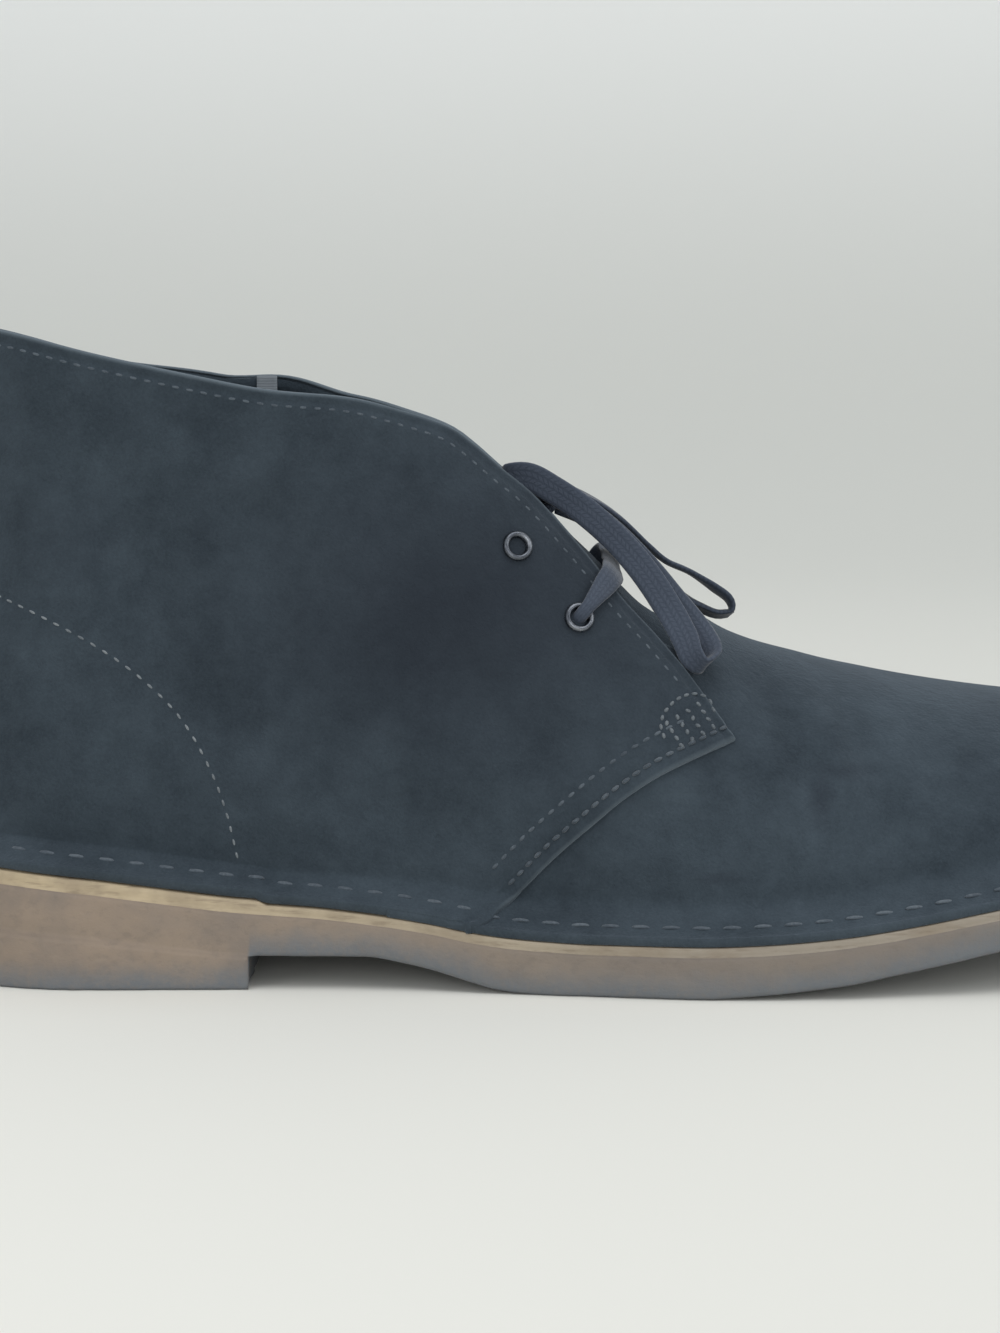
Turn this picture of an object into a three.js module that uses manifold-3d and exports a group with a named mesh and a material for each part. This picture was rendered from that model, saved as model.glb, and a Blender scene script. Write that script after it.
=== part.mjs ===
// A chukka boot for the right foot: a suede upper turned out and stitched down on to a thin midsole,
// over a crepe rubber outsole and heel. Millimetres. +X is the toe, -Y the outer side of the foot,
// +Z is up, and the floor is Z = 0.
import * as THREE from 'three';
import { mergeVertices } from 'three/addons/utils/BufferGeometryUtils.js';
import Module from 'manifold-3d';

const wasm = await Module();
wasm.setup();

// ---- driving sizes ----
const FOOT_HEEL = -141.5;     // back and front of the foot's outline where it meets the sole
const FOOT_TOE = 141.5;
const FLANGE = 8.5;           // how far the sole and the turned-out edge reach past that outline
const GAP = 0.3;              // air left between pieces that touch
const WALL = 1.7;             // vamp suede
const QUARTER = 1.3;          // how far the quarters stand proud of the vamp
const FLANGE_THICK = 2;
const HEEL_BREAST = -75;      // where the heel block ends
const HEEL_MIDSOLE = 0.9;     // how much thicker the midsole is over the heel
const MIDSOLE = 1.7;
const INSOLE = 2.8;
const OUTER = -1;             // the two sides of the foot, as the sign of Y
const INNER = 1;
const STATIONS = 42;          // sections from heel to toe
const HALF_STEPS = 12;        // steps up each side of a section
const TUCK_HEIGHT = 18;       // the wall draws in to the sole below this
const SMALL = 0.02;           // a step for taking slopes
const FAR = 400;              // longer than the boot

// ---- tables: a row for each section, the first column is where it is ----
// the foot: middle of the outline, half width at the sole, how much wider the wall is above that,
// top of the closed form, how far the top leans to the inside, roundness, share of shaft
const LAST = table(['mid', 'half', 'swell', 'ridge', 'crest', 'round', 'shaft'], [
  [-141.5, 0, 31, 1, 192, 0, 3.2, 1],
  [-105, 0, 31.5, 1.5, 192, 0, 3.2, 1],
  [-80, -1, 30.8, 2, 188, 0, 3, 1],
  [-60, -2.2, 30, 2, 168, 0, 2.8, 0.8],
  [-45, -3, 30.8, 2, 148, 0.5, 2.6, 0.6],
  [-24, -3.4, 33.8, 2, 120, 1, 2.4, 0.3],
  [0, -3, 38.5, 2, 91, 2, 2.25, 0.1],
  [15, -2.5, 41.5, 2, 76, 2.5, 2.2, 0],
  [27, -1.5, 43.5, 2, 68, 3, 2.15, 0],
  [50, 1, 45.8, 1.8, 61, 3, 2.1, 0],
  [72, 3.5, 45.6, 1.6, 56.3, 3, 2.15, 0],
  [90, 6, 43.5, 1.4, 53.6, 2.5, 2.2, 0],
  [115, 8, 39.5, 1.2, 51, 1.5, 2.3, 0],
  [141.5, 9, 35, 1, 50, 0, 2.4, 0],
]);
// the shaft by height: half width, and how far the back of the heel moves forward
const SHAFT = table(['half', 'back'], [
  [14, 33, 0.8],
  [28, 33.4, -0.6],
  [45, 34, -1.8],
  [70, 32.6, -0.4],
  [95, 31.4, 2.8],
  [115, 32.6, 3.2],
  [135, 35, 2],
]);
// the sole: top of the midsole without its heel part, and underside of the outsole
const SOLE = table(['seat', 'under'], [
  [-150, 24.9, 12.9],
  [-126, 23.8, 12.1],
  [-111, 22.3, 10.9],
  [-100, 20.85, 9.6],
  [-88, 19.25, 8.2],
  [-77, 17.9, 7.1],
  [-60, 16.6, 6.9],
  [-50, 15.6, 6.9],
  [-42, 14.6, 5.7],
  [-35, 13.6, 4.2],
  [-28, 12.3, 2.2],
  [-21, 11.4, 0.5],
  [-12, 10.8, 0],
  [-3, 10.5, 0],
  [17, 10.5, 0],
  [31, 11, 0.9],
  [44, 12.1, 2.4],
  [57, 13.8, 4.7],
  [67, 15.4, 6.6],
  [78, 17.4, 8.9],
  [95, 20.3, 12],
  [115, 23.2, 15],
  [135, 25.4, 17.4],
  [150, 26.5, 18.5],
]);
// where the ends of the outline, and the top of the toe, start to round in
const HEEL_ROUND = { from: -107, to: FOOT_HEEL, power: 2.1 };
const TOE_ROUND = { from: 76, to: FOOT_TOE, power: 2.25 };
const TOE_DROP = { from: 94, to: FOOT_TOE, power: 2.15 };
// edges of the quarters as (x, z) in side view
const COLLAR = [
  [-160, 136.6], [-141, 135.8], [-125, 133.5], [-104, 128.4], [-84, 124], [-70, 121.2], [-53, 119.2],
  [-43, 116.3], [-33, 112.4],
];
const FACING = [
  [-28.4, 109], [-22.4, 103.6], [-16.7, 98.7], [-7, 87.8], [3, 75.6], [10, 68.2], [15, 62.9],
];
const THROAT = [[20, 70], [23, 90]];
const TAB = [25.1, 50.4];
const SEAM = [
  [17.5, 47.7], [10, 44.4], [2.6, 39.6], [-4.5, 33.9], [-11.7, 27.6], [-19, 20], [-25, 14], [-30, 6],
];
const COLLAR_LEAN = 0.05;     // the inner side of the collar is this much lower for each mm across
// the tongue's middle line as (x, z), sagging below the facings
const TONGUE = table(['z'], [
  [-25, 99.5], [-20, 95.4], [-16.5, 93], [-12, 92], [-8.5, 90.4], [-5, 87.6], [0, 82.7], [3, 79.5],
  [8, 74.5], [18, 68.2], [30, 62.6],
]);
const TONGUE_SIZE = { front: 30, length: 55, half: 27, thick: 1.8, corner: 0.93, tip: 0.86 };
const TONGUE_DROOP = 20;      // how much lower its edges are than its middle
// eyelets as (x, z) on the outer side
const EYELETS = [[-19.3, 89.8], [-6.7, 75.1]];
const EYELET = { flange: 3.2, barrel: 2.2, hole: 1.8, top: 1.2, bevel: 0.4, drill: 12, segments: 12 };
const EYELET_HOLE = EYELET.barrel + GAP;
// flat lace, and the routes of its loops and of its hidden ends: centre, then the way its width lies
const LACE = { width: 6, thick: 1.3, pinched: 4.5 };
const KNOT = { at: [-16, -3, 97], half: [4.4, 3.4, 3.2] };
const LOOP_OUTER = [
  [-19.6, -5.6, 100.2, 0.6, -0.3, 0.7], [-21.8, -7.4, 101.6, 0.5, -0.3, 0.8],
  [-20.2, -9, 102.6, 0.3, -0.1, 0.95], [-16.4, -10.2, 102.8, 0.1, 0, 1], [-11, -11.6, 100, 0.38, 0, 0.92],
  [-5, -13.4, 96, 0.52, 0, 0.85], [1, -16, 90.9, 0.6, 0, 0.8], [6.8, -19.5, 84.6, 0.7, 0, 0.7],
  [12, -24, 77.1, 0.8, 0, 0.6], [15.6, -28, 70.7, 0.9, 0, 0.45], [17.2, -31, 67, 0.95, 0.1, 0.3],
  [19.2, -31.6, 65.2, 0.9, 0.3, 0.3], [21, -29, 66.8, 0.8, 0.5, 0.35], [19.2, -24.8, 70.7, 0.8, 0.4, 0.45],
  [14, -19.4, 76.9, 0.75, 0.2, 0.6], [8, -15.2, 83.9, 0.7, 0, 0.7], [1.8, -12, 90.1, 0.6, 0, 0.8],
  [-4.4, -9.4, 95.1, 0.52, 0, 0.85], [-10.4, -8, 98.9, 0.38, 0, 0.92], [-14.4, -7.3, 100.6, 0.1, -0.1, 1],
];
const LOOP_INNER = [
  [-12.4, 1, 99.6, 0, 1, 0.2], [-8, -0.6, 99.2, 0, 1, 0.1], [-2, -1.6, 96.6, 0, 1, 0],
  [3.6, -2, 92.6, 0, 1, -0.05], [9, -0.8, 87.2, 0, 1, -0.1], [13, 1, 83.6, 0, 1, -0.1],
  [18.5, 3.2, 80.8, 0, 1, -0.1], [23.5, 5, 77.2, 0, 1, -0.1], [27, 6, 74.2, 0, 1, -0.1],
  [27.4, 6.4, 71.8, 0, 1, -0.1], [24.6, 6.2, 71.2, 0, 1, -0.1], [20.6, 5.4, 72.9, 0, 1, -0.1],
  [17, 4.4, 75.4, 0, 1, -0.1], [13, 3.2, 79, 0, 1, -0.1], [7.4, 2.6, 83.6, 0, 1, -0.1],
  [1, 2.6, 88.4, 0, 1, 0], [-5, 2.6, 92, 0, 1, 0], [-10.6, 2.4, 94.6, 0, 1, 0.1],
];
const LACE_END = {
  outer: [[-17, -8.2, 95.8], [-17.8, -13.5, 94.2], [-18.8, -19, 92], [-19.6, -23.6, 90]],
  inner: [[-17, 2.2, 95.8], [-17.6, 6.6, 94.2], [-18.4, 11, 92], [-19.2, 14.6, 90]],
};
// the bar across the throat on one side, as (x, z) on the upper, and how far above it
const BAR = [[-6.4, 75.5, 2.7], [-4.6, 77.6, 2.3], [-2.6, 79.9, 1.5], [-0.8, 81.9, 1.1]];
const BAR_MIDDLE = { x: 1.4, z: 83.4, half: 8 };
const SLOPE = [0.66, 0, -0.75];     // the way the lace's width lies in the throat

// ---- small tools ----
function table(names, rows) {
  // one smooth function for each named column, without overshoot between rows
  const xs = rows.map((row) => row[0]);
  const columns = {};
  names.forEach((name, column) => {
    const ys = rows.map((row) => row[column + 1]);
    const slopes = ys.map((y, i) => {
      if (i === 0 || i === ys.length - 1) return 0;
      const before = (y - ys[i - 1]) / (xs[i] - xs[i - 1]);
      const after = (ys[i + 1] - y) / (xs[i + 1] - xs[i]);
      return before * after <= 0 ? 0 : 2 * before * after / (before + after);
    });
    columns[name] = (x) => {
      if (x <= xs[0]) return ys[0];
      if (x >= xs.at(-1)) return ys.at(-1);
      const i = xs.findLastIndex((start) => start <= x);
      const run = xs[i + 1] - xs[i];
      const t = (x - xs[i]) / run;
      return ys[i] * (1 + 2 * t) * (1 - t) ** 2 + ys[i + 1] * t * t * (3 - 2 * t)
        + run * t * (1 - t) * (slopes[i] * (1 - t) - slopes[i + 1] * t);
    };
  });
  return columns;
}

function closing(x, { from, to, power }) {
  const t = Math.min(1, Math.max(0, (x - from) / (to - from)));
  return (1 - t ** power) ** (1 / power);
}

function welded(points, faces) {
  // the same surface with shared corners, and the number of the shared corner that each point became
  const loose = new THREE.BufferGeometry();
  loose.setAttribute('position', new THREE.Float32BufferAttribute(points.flat(), 3));
  loose.setIndex(faces.flat());
  const surface = mergeVertices(loose, 1e-4);
  const corner = [];
  faces.flat().forEach((point, n) => { corner[point] = surface.index.array[n]; });
  return { surface, corner };
}

function merged(points, faces) {
  // the surface without the faces that lost their area when corners were shared
  const { surface } = welded(points, faces);
  const index = surface.index.array;
  const kept = [];
  for (let i = 0; i < index.length; i += 3) {
    const [a, b, c] = index.slice(i, i + 3);
    if (a !== b && b !== c && c !== a) kept.push(a, b, c);
  }
  surface.setIndex(kept);
  return surface;
}

function solid(geometry) {
  const bare = geometry.clone();
  bare.deleteAttribute('normal');
  bare.deleteAttribute('uv');
  const whole = mergeVertices(bare, 1e-4);
  return new wasm.Manifold(new wasm.Mesh({
    numProp: 3,
    vertProperties: new Float32Array(whole.attributes.position.array),
    triVerts: new Uint32Array(whole.index.array),
  }));
}

function geometryOf(manifold) {
  const mesh = manifold.getMesh();
  const geometry = new THREE.BufferGeometry();
  geometry.setAttribute('position', new THREE.Float32BufferAttribute(mesh.vertProperties, 3));
  geometry.setIndex(Array.from(mesh.triVerts));
  geometry.computeVertexNormals();
  return geometry;
}

function gridFaces(rows, columns, start = 0, flip = false) {
  // two triangles for each cell of a grid of points, rows after each other
  const faces = [];
  for (let i = 0; i < rows - 1; i++) {
    for (let j = 0; j < columns - 1; j++) {
      const a = start + i * columns + j;
      const [b, c, d] = [a + 1, a + columns, a + columns + 1];
      faces.push(flip ? [a, b, c] : [a, c, b], flip ? [b, d, c] : [b, c, d]);
    }
  }
  return faces;
}

function boxed(low, high) {
  const size = high.map((value, k) => value - low[k]);
  const box = new THREE.BoxGeometry(...size);
  return solid(box.translate(...high.map((value, k) => (value + low[k]) / 2)));
}

function sideCutter(outline, half, lean = 0) {
  // everything inside an outline given as (x, z), right through the boot, lower by lean towards the inside
  const shape = new THREE.Shape(outline.map(([x, z]) => new THREE.Vector2(x, z)));
  const block = new THREE.ExtrudeGeometry(shape, { depth: 2 * half, bevelEnabled: false });
  block.rotateX(Math.PI / 2).translate(0, half, 0);
  const shear = new THREE.Matrix4().set(1, 0, 0, 0, 0, 1, 0, 0, 0, -lean, 1, 0, 0, 0, 0, 1);
  return solid(block.applyMatrix4(shear));
}

function rounded(points, steps = 3) {
  return new THREE.SplineCurve(points.map(([x, z]) => new THREE.Vector2(x, z)))
    .getPoints(steps * (points.length - 1)).map((p) => [p.x, p.y]);
}

// ---- the form of the boot ----
const seat = (x) => SOLE.seat(x);
const midsoleTop = (x) => seat(x) + (x < HEEL_BREAST + 1 ? HEEL_MIDSOLE : 0);

function wallAt(x, side, rise) {
  // a point of the upper's outer surface: along the foot, side, and share of the height to the top
  const low = seat(x) + GAP;
  const z = low + (LAST.ridge(x) - low) * closing(x, TOE_DROP) * rise;
  const shaft = LAST.shaft(x);
  const full = (1 - shaft) * (LAST.half(x) + LAST.swell(x)) + shaft * SHAFT.half(z);
  const tuck = LAST.swell(x) * Math.max(0, 1 - (z - low) / TUCK_HEIGHT) ** 2;
  const width = full * (1 - rise ** LAST.round(x)) ** (1 / LAST.round(x)) - tuck;
  const ends = closing(x, HEEL_ROUND) * closing(x, TOE_ROUND);
  const y = LAST.mid(x) + LAST.crest(x) * rise + side * Math.max(0, width) * ends;
  const toBack = Math.min(1, Math.max(0, (HEEL_BREAST - x) / (HEEL_BREAST - FOOT_HEEL)));
  return [x + SHAFT.back(z) * toBack ** 1.5, y + SWING, z];
}

function station(i) {
  return FOOT_HEEL + (FOOT_TOE - FOOT_HEEL) * (1 - Math.cos(Math.PI * i / STATIONS)) / 2;
}

function edgeAt(x, side, reach) {
  // a point of the sole's outline, that far outside the foot's own outline
  const at = (p) => {
    const inside = Math.min(FOOT_TOE, Math.max(FOOT_HEEL, p));
    const ends = closing(inside, HEEL_ROUND) * closing(inside, TOE_ROUND);
    return LAST.mid(inside) + side * LAST.half(inside) * ends;
  };
  const rise = at(x + SMALL) - at(x - SMALL);
  const normal = new THREE.Vector2(-rise * side, 2 * SMALL).normalize();
  if (x <= FOOT_HEEL) normal.set(-1, 0);
  if (x >= FOOT_TOE) normal.set(1, 0);
  return [x + reach * normal.x, at(x) + reach * normal.y * side];
}

// the outline's own middle, so that the boot is centred on Y = 0
const SWING = (() => {
  const ys = Array.from({ length: STATIONS + 1 }, (_, i) => station(i))
    .flatMap((x) => [edgeAt(x, OUTER, FLANGE)[1], edgeAt(x, INNER, FLANGE)[1]]);
  return -(Math.max(...ys) + Math.min(...ys)) / 2;
})();

function skin(grow, bottom) {
  // the closed form of the upper, grown outwards by that much, its lower edge at bottom(x)
  const points = [];
  const across = 2 * HALF_STEPS + 1;
  for (let i = 0; i <= STATIONS; i++) {
    const x = station(i);
    const crowd = 2 - 0.9 * LAST.shaft(x);
    for (let k = 0; k < across; k++) {
      const up = 1 - Math.abs(k - HALF_STEPS) / HALF_STEPS;
      points.push(wallAt(x, k < HALF_STEPS ? OUTER : INNER, 1 - (1 - up) ** crowd));
    }
  }
  const faces = gridFaces(STATIONS + 1, across);
  const { surface, corner } = welded(points, faces);
  surface.computeVertexNormals();
  const { normal } = surface.attributes;
  const grown = points.map((point, n) => {
    const [x, y, z] = point.map((value, axis) => value + grow * normal.getComponent(corner[n], axis));
    const k = n % across;
    const edge = k === 0 || k === across - 1;
    return [x, y, edge ? bottom(x) : Math.max(z, bottom(x) + 10 * SMALL)];
  });
  for (let i = 0; i < STATIONS; i++) {
    const [a, b] = [i * across, (i + 1) * across];
    faces.push([a, a + across - 1, b], [b, a + across - 1, b + across - 1]);
  }
  return solid(merged(grown, faces));
}

function slab(reach, top, bottom, across = 2) {
  // a layer of the sole inside the outline
  const layers = [top, bottom].map((height) => {
    const points = [];
    for (let i = 0; i <= STATIONS; i++) {
      const outer = edgeAt(station(i), OUTER, reach);
      const inner = edgeAt(station(i), INNER, reach);
      for (let k = 0; k <= across; k++) {
        const t = k / across;
        const x = outer[0] + (inner[0] - outer[0]) * t;
        points.push([x, outer[1] + (inner[1] - outer[1]) * t + SWING, height(x)]);
      }
    }
    return points;
  });
  const row = across + 1;
  const count = layers[0].length;
  const faces = [
    ...gridFaces(STATIONS + 1, row),
    ...gridFaces(STATIONS + 1, row, count, true),
  ];
  for (let i = 0; i < STATIONS; i++) {
    const [a, b] = [i * row, (i + 1) * row];
    faces.push([a, a + count, b], [b, a + count, b + count]);
    const [c, d] = [a + across, b + across];
    faces.push([c, d, c + count], [d, d + count, c + count]);
  }
  return solid(merged(layers.flat(), faces));
}

function sheet(grid, thick) {
  // a closed sheet of that thickness under a grid of points
  const rows = grid.length;
  const columns = grid[0].length;
  const at = (i, j) => new THREE.Vector3(...grid[i][j]);
  const below = grid.map((line, i) => line.map((point, j) => {
    const along = at(Math.min(i + 1, rows - 1), j).sub(at(Math.max(i - 1, 0), j));
    const over = at(i, Math.min(j + 1, columns - 1)).sub(at(i, Math.max(j - 1, 0)));
    const down = along.cross(over).normalize().multiplyScalar(-thick);
    return new THREE.Vector3(...point).add(down).toArray();
  }));
  const count = rows * columns;
  const faces = [...gridFaces(rows, columns), ...gridFaces(rows, columns, count, true)];
  const rim = [
    ...Array.from({ length: columns }, (_, j) => j),
    ...Array.from({ length: rows - 1 }, (_, i) => (i + 2) * columns - 1),
    ...Array.from({ length: columns - 1 }, (_, j) => rows * columns - 2 - j),
    ...Array.from({ length: rows - 2 }, (_, i) => (rows - 2 - i) * columns),
  ];
  rim.forEach((a, n) => {
    const b = rim[(n + 1) % rim.length];
    faces.push([a, b, a + count], [b, b + count, a + count]);
  });
  return merged([...grid.flat(), ...below.flat()], faces);
}

// ---- the pieces ----
function makeOutsole() {
  return slab(FLANGE, (x) => seat(x) - MIDSOLE - GAP, (x) => SOLE.under(x));
}

function makeHeel() {
  const block = slab(FLANGE, (x) => SOLE.under(x) - GAP, () => 0);
  return block.intersect(boxed([-FAR, -FAR, -1], [HEEL_BREAST, FAR, FAR]));
}

function makeMidsole() {
  return slab(FLANGE, midsoleTop, (x) => seat(x) - MIDSOLE);
}

function makeInsole() {
  const lift = HEEL_MIDSOLE + GAP;
  return slab(-WALL - 1.6, (x) => seat(x) + lift + INSOLE, (x) => seat(x) + lift);
}

function onUpper(x, z, side, lift) {
  // the point of the upper's side at that place in side view, that far above the quarter, and the way out
  const low = seat(x) + GAP;
  const rise = (z - low) / ((LAST.ridge(x) - low) * closing(x, TOE_DROP));
  const here = new THREE.Vector3(...wallAt(x, side, rise));
  const along = new THREE.Vector3(...wallAt(x + 0.5, side, rise)).sub(here);
  const up = new THREE.Vector3(...wallAt(x, side, rise + 0.01)).sub(here);
  const out = along.cross(up).multiplyScalar(-side).normalize();
  return { point: here.addScaledVector(out, QUARTER + lift), out };
}

function makeUpper() {
  const low = (x) => midsoleTop(x) + GAP;
  const flange = slab(FLANGE, (x) => low(x) + FLANGE_THICK, low);
  const quarterSide = sideCutter([
    [-FAR, -5], ...rounded([TAB, ...SEAM]).reverse(), ...rounded(FACING).reverse(), [-FAR, FAR / 2],
  ], FAR / 4);
  const quarters = skin(QUARTER, low).intersect(quarterSide);
  const opening = sideCutter([
    ...rounded(COLLAR), ...rounded(FACING), ...THROAT, [THROAT.at(-1)[0], FAR / 2], [COLLAR[0][0], FAR / 2],
  ], FAR / 4, COLLAR_LEAN);
  const inside = skin(-WALL, (x) => seat(x) - 4);
  let upper = flange.add(skin(0, low)).add(quarters).subtract(inside).subtract(opening);
  for (const [x, z] of EYELETS) {
    for (const side of [OUTER, INNER]) {
      const drill = new THREE.CylinderGeometry(EYELET_HOLE, EYELET_HOLE, EYELET.drill, EYELET.segments);
      upper = upper.subtract(solid(standing(drill, onUpper(x, z, side, 0))));
    }
  }
  return upper;
}

function standing(geometry, { point, out }) {
  // turned so that its own Y points out of the upper, and moved to the point
  const turn = new THREE.Quaternion().setFromUnitVectors(new THREE.Vector3(0, 1, 0), out);
  return geometry.applyQuaternion(turn).translate(...point);
}

function makeEyelet(x, z, side) {
  const { flange, barrel, hole, top, bevel, segments } = EYELET;
  const profile = [
    [hole, -WALL - QUARTER], [barrel, -WALL - QUARTER], [barrel, GAP], [flange, GAP], [flange, top - bevel],
    [flange - bevel, top], [hole + bevel, top], [hole, top - bevel], [hole, -WALL - QUARTER],
  ].map(([radius, height]) => new THREE.Vector2(radius, height));
  return solid(standing(new THREE.LatheGeometry(profile, segments), onUpper(x, z, side, 0)));
}

function makeTongue() {
  const { front, length, half, thick, corner, tip } = TONGUE_SIZE;
  const steps = 14;
  const across = 10;
  const grid = [];
  for (let i = 0; i <= steps; i++) {
    const x = front - length * i / steps;
    const narrowed = { [steps]: tip, [steps - 1]: corner }[i] ?? 1;
    const line = [];
    for (let j = 0; j <= across; j++) {
      const t = 2 * j / across - 1;
      const y = SWING + LAST.mid(x) + LAST.crest(x) + half * narrowed * t;
      line.push([x, y, TONGUE.z(x) - TONGUE_DROOP * t * t]);
    }
    grid.push(line);
  }
  return solid(sheet(grid.reverse(), thick));
}

function strip(route, steps, width) {
  // a stretch of flat lace: each row of the route is its centre, then the way its width lies
  const centre = new THREE.CatmullRomCurve3(route.map((row) => new THREE.Vector3(...row.slice(0, 3))));
  const lie = new THREE.CatmullRomCurve3(route.map((row) => new THREE.Vector3(...row.slice(3, 6))));
  const grid = [];
  for (let i = 0; i <= steps; i++) {
    const across = lie.getPoint(i / steps).normalize();
    const face = centre.getTangent(i / steps).cross(across).normalize();
    const middle = centre.getPoint(i / steps).addScaledVector(face, LACE.thick / 2);
    grid.push([-0.5, 0.5].map((half) => middle.clone().addScaledVector(across, half * width).toArray()));
  }
  return solid(sheet(grid, LACE.thick));
}

function makeBar() {
  const half = (side) => BAR.map(([x, z, lift]) => [...onUpper(x, z, side, lift).point.toArray(), ...SLOPE]);
  const middle = wallAt(0, OUTER, 1)[1];
  const across = [-BAR_MIDDLE.half, 0, BAR_MIDDLE.half]
    .map((y) => [BAR_MIDDLE.x, middle + y, BAR_MIDDLE.z, ...SLOPE]);
  return strip([...half(OUTER), ...across, ...half(INNER).reverse()], 24, LACE.width);
}

function makeKnot() {
  const ball = new THREE.SphereGeometry(1, 12, 8);
  return solid(ball.scale(...KNOT.half).translate(...KNOT.at));
}

function makeLaceEnd(side) {
  return strip(LACE_END[side].map((point) => [...point, ...SLOPE]), 8, LACE.pinched);
}

// ---- the boot ----
const MATERIALS = {
  suede: { color: 0x3b4650, roughness: 0.95, metalness: 0 },
  crepe: { color: 0x8a7c71, roughness: 0.8, metalness: 0 },
  tan: { color: 0xb29e80, roughness: 0.75, metalness: 0 },
  lace: { color: 0x444c58, roughness: 0.9, metalness: 0 },
  metal: { color: 0x3c3f44, roughness: 0.35, metalness: 1 },
  sock: { color: 0x9a8a74, roughness: 0.7, metalness: 0 },
};
const boot = new THREE.Group();

function add(name, manifold, material) {
  const mesh = new THREE.Mesh(geometryOf(manifold), new THREE.MeshStandardMaterial(MATERIALS[material]));
  mesh.name = name;
  boot.add(mesh);
}

add('outsole', makeOutsole(), 'crepe');
add('heel', makeHeel(), 'crepe');
add('midsole', makeMidsole(), 'tan');
add('insole', makeInsole(), 'sock');
add('upper', makeUpper(), 'suede');
add('tongue', makeTongue(), 'suede');
for (const [side, word] of [[OUTER, 'outer'], [INNER, 'inner']]) {
  EYELETS.forEach(([x, z], n) => add(`eyelet_${word}_${n + 1}`, makeEyelet(x, z, side), 'metal'));
  add(`lace_end_${word}`, makeLaceEnd(word), 'lace');
}
add('lace_bar', makeBar(), 'lace');
add('lace_knot', makeKnot(), 'lace');
add('lace_loop_outer', strip(LOOP_OUTER, 40, LACE.width), 'lace');
add('lace_loop_inner', strip(LOOP_INNER, 36, LACE.width), 'lace');

export default boot;
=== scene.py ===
# %% [markdown]
# # A chukka boot, built around its frame
# The frame is the imported model: every piece of the boot at its real size, in metres, with the toe
# along +X, the outer side of the foot along -Y and the floor at Z = 0. Blender adds the looks around
# it. The fine meshes below come from the same form as the frame, so they land where its solids are,
# and the solids they stand in for are hidden.

# %% Load the frame
import math
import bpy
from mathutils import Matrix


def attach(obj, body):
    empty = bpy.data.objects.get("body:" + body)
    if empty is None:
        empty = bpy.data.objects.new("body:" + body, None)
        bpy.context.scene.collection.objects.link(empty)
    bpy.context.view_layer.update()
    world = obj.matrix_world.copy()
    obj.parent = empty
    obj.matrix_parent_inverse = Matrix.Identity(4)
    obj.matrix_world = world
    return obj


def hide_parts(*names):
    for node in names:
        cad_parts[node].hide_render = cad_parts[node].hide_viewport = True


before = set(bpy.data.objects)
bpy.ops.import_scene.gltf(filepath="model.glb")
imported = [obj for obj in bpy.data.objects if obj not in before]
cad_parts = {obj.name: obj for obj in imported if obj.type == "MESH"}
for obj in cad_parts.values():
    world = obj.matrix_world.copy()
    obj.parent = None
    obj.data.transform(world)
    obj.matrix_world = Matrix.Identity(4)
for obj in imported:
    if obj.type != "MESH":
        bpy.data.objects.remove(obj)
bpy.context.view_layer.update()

from types import SimpleNamespace

import bmesh
import bpy
import numpy as np
from mathutils import Matrix, Vector

MM = 0.001

# %% [markdown]
# ## The form
# A boot is drawn around a last, the wooden or plastic shape of a foot. A last could be sculpted, but
# a sculpt has no sizes. Here it is a short table instead: a row for each section along the foot, a
# named column for each measure, and a smooth curve through every column. The sole and the shaft have
# tables of their own.

# %% Smooth tables
def table(names, rows):
    """One smooth function of the first column for each other one, without overshoot between rows."""
    rows = np.array(rows, float)
    at = rows[:, 0]

    def column(values):
        steps = np.diff(values) / np.diff(at)
        before, after = steps[:-1], steps[1:]
        same = before * after > 0
        slopes = np.zeros_like(values)
        slopes[1:-1][same] = 2 * before[same] * after[same] / (before[same] + after[same])

        def value(x):
            x = np.clip(x, at[0], at[-1])
            i = np.clip(np.searchsorted(at, x, side="right") - 1, 0, len(at) - 2)
            run = at[i + 1] - at[i]
            t = (x - at[i]) / run
            ends = values[i] * (1 + 2 * t) * (1 - t) ** 2 + values[i + 1] * t * t * (3 - 2 * t)
            return ends + run * t * (1 - t) * (slopes[i] * (1 - t) - slopes[i + 1] * t)

        return value

    return SimpleNamespace(**{name: column(rows[:, k + 1]) for k, name in enumerate(names)})


# the foot: middle and half width of its outline at the sole, how much wider the wall is above that,
# the top of the closed form, how far the top leans inwards, how square the section is, and its share
# of shaft
LAST = table(["mid", "half", "swell", "ridge", "crest", "round", "shaft"], [
    (-0.1415, 0, 0.031, 0.001, 0.192, 0, 3.2, 1),
    (-0.105, 0, 0.0315, 0.0015, 0.192, 0, 3.2, 1),
    (-0.08, -0.001, 0.0308, 0.002, 0.188, 0, 3, 1),
    (-0.06, -0.0022, 0.03, 0.002, 0.168, 0, 2.8, 0.8),
    (-0.045, -0.003, 0.0308, 0.002, 0.148, 0.0005, 2.6, 0.6),
    (-0.024, -0.0034, 0.0338, 0.002, 0.12, 0.001, 2.4, 0.3),
    (0, -0.003, 0.0385, 0.002, 0.091, 0.002, 2.25, 0.1),
    (0.015, -0.0025, 0.0415, 0.002, 0.076, 0.0025, 2.2, 0),
    (0.027, -0.0015, 0.0435, 0.002, 0.068, 0.003, 2.15, 0),
    (0.05, 0.001, 0.0458, 0.0018, 0.061, 0.003, 2.1, 0),
    (0.072, 0.0035, 0.0456, 0.0016, 0.0563, 0.003, 2.15, 0),
    (0.09, 0.006, 0.0435, 0.0014, 0.0536, 0.0025, 2.2, 0),
    (0.115, 0.008, 0.0395, 0.0012, 0.051, 0.0015, 2.3, 0),
    (0.1415, 0.009, 0.035, 0.001, 0.05, 0, 2.4, 0),
])
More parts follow.
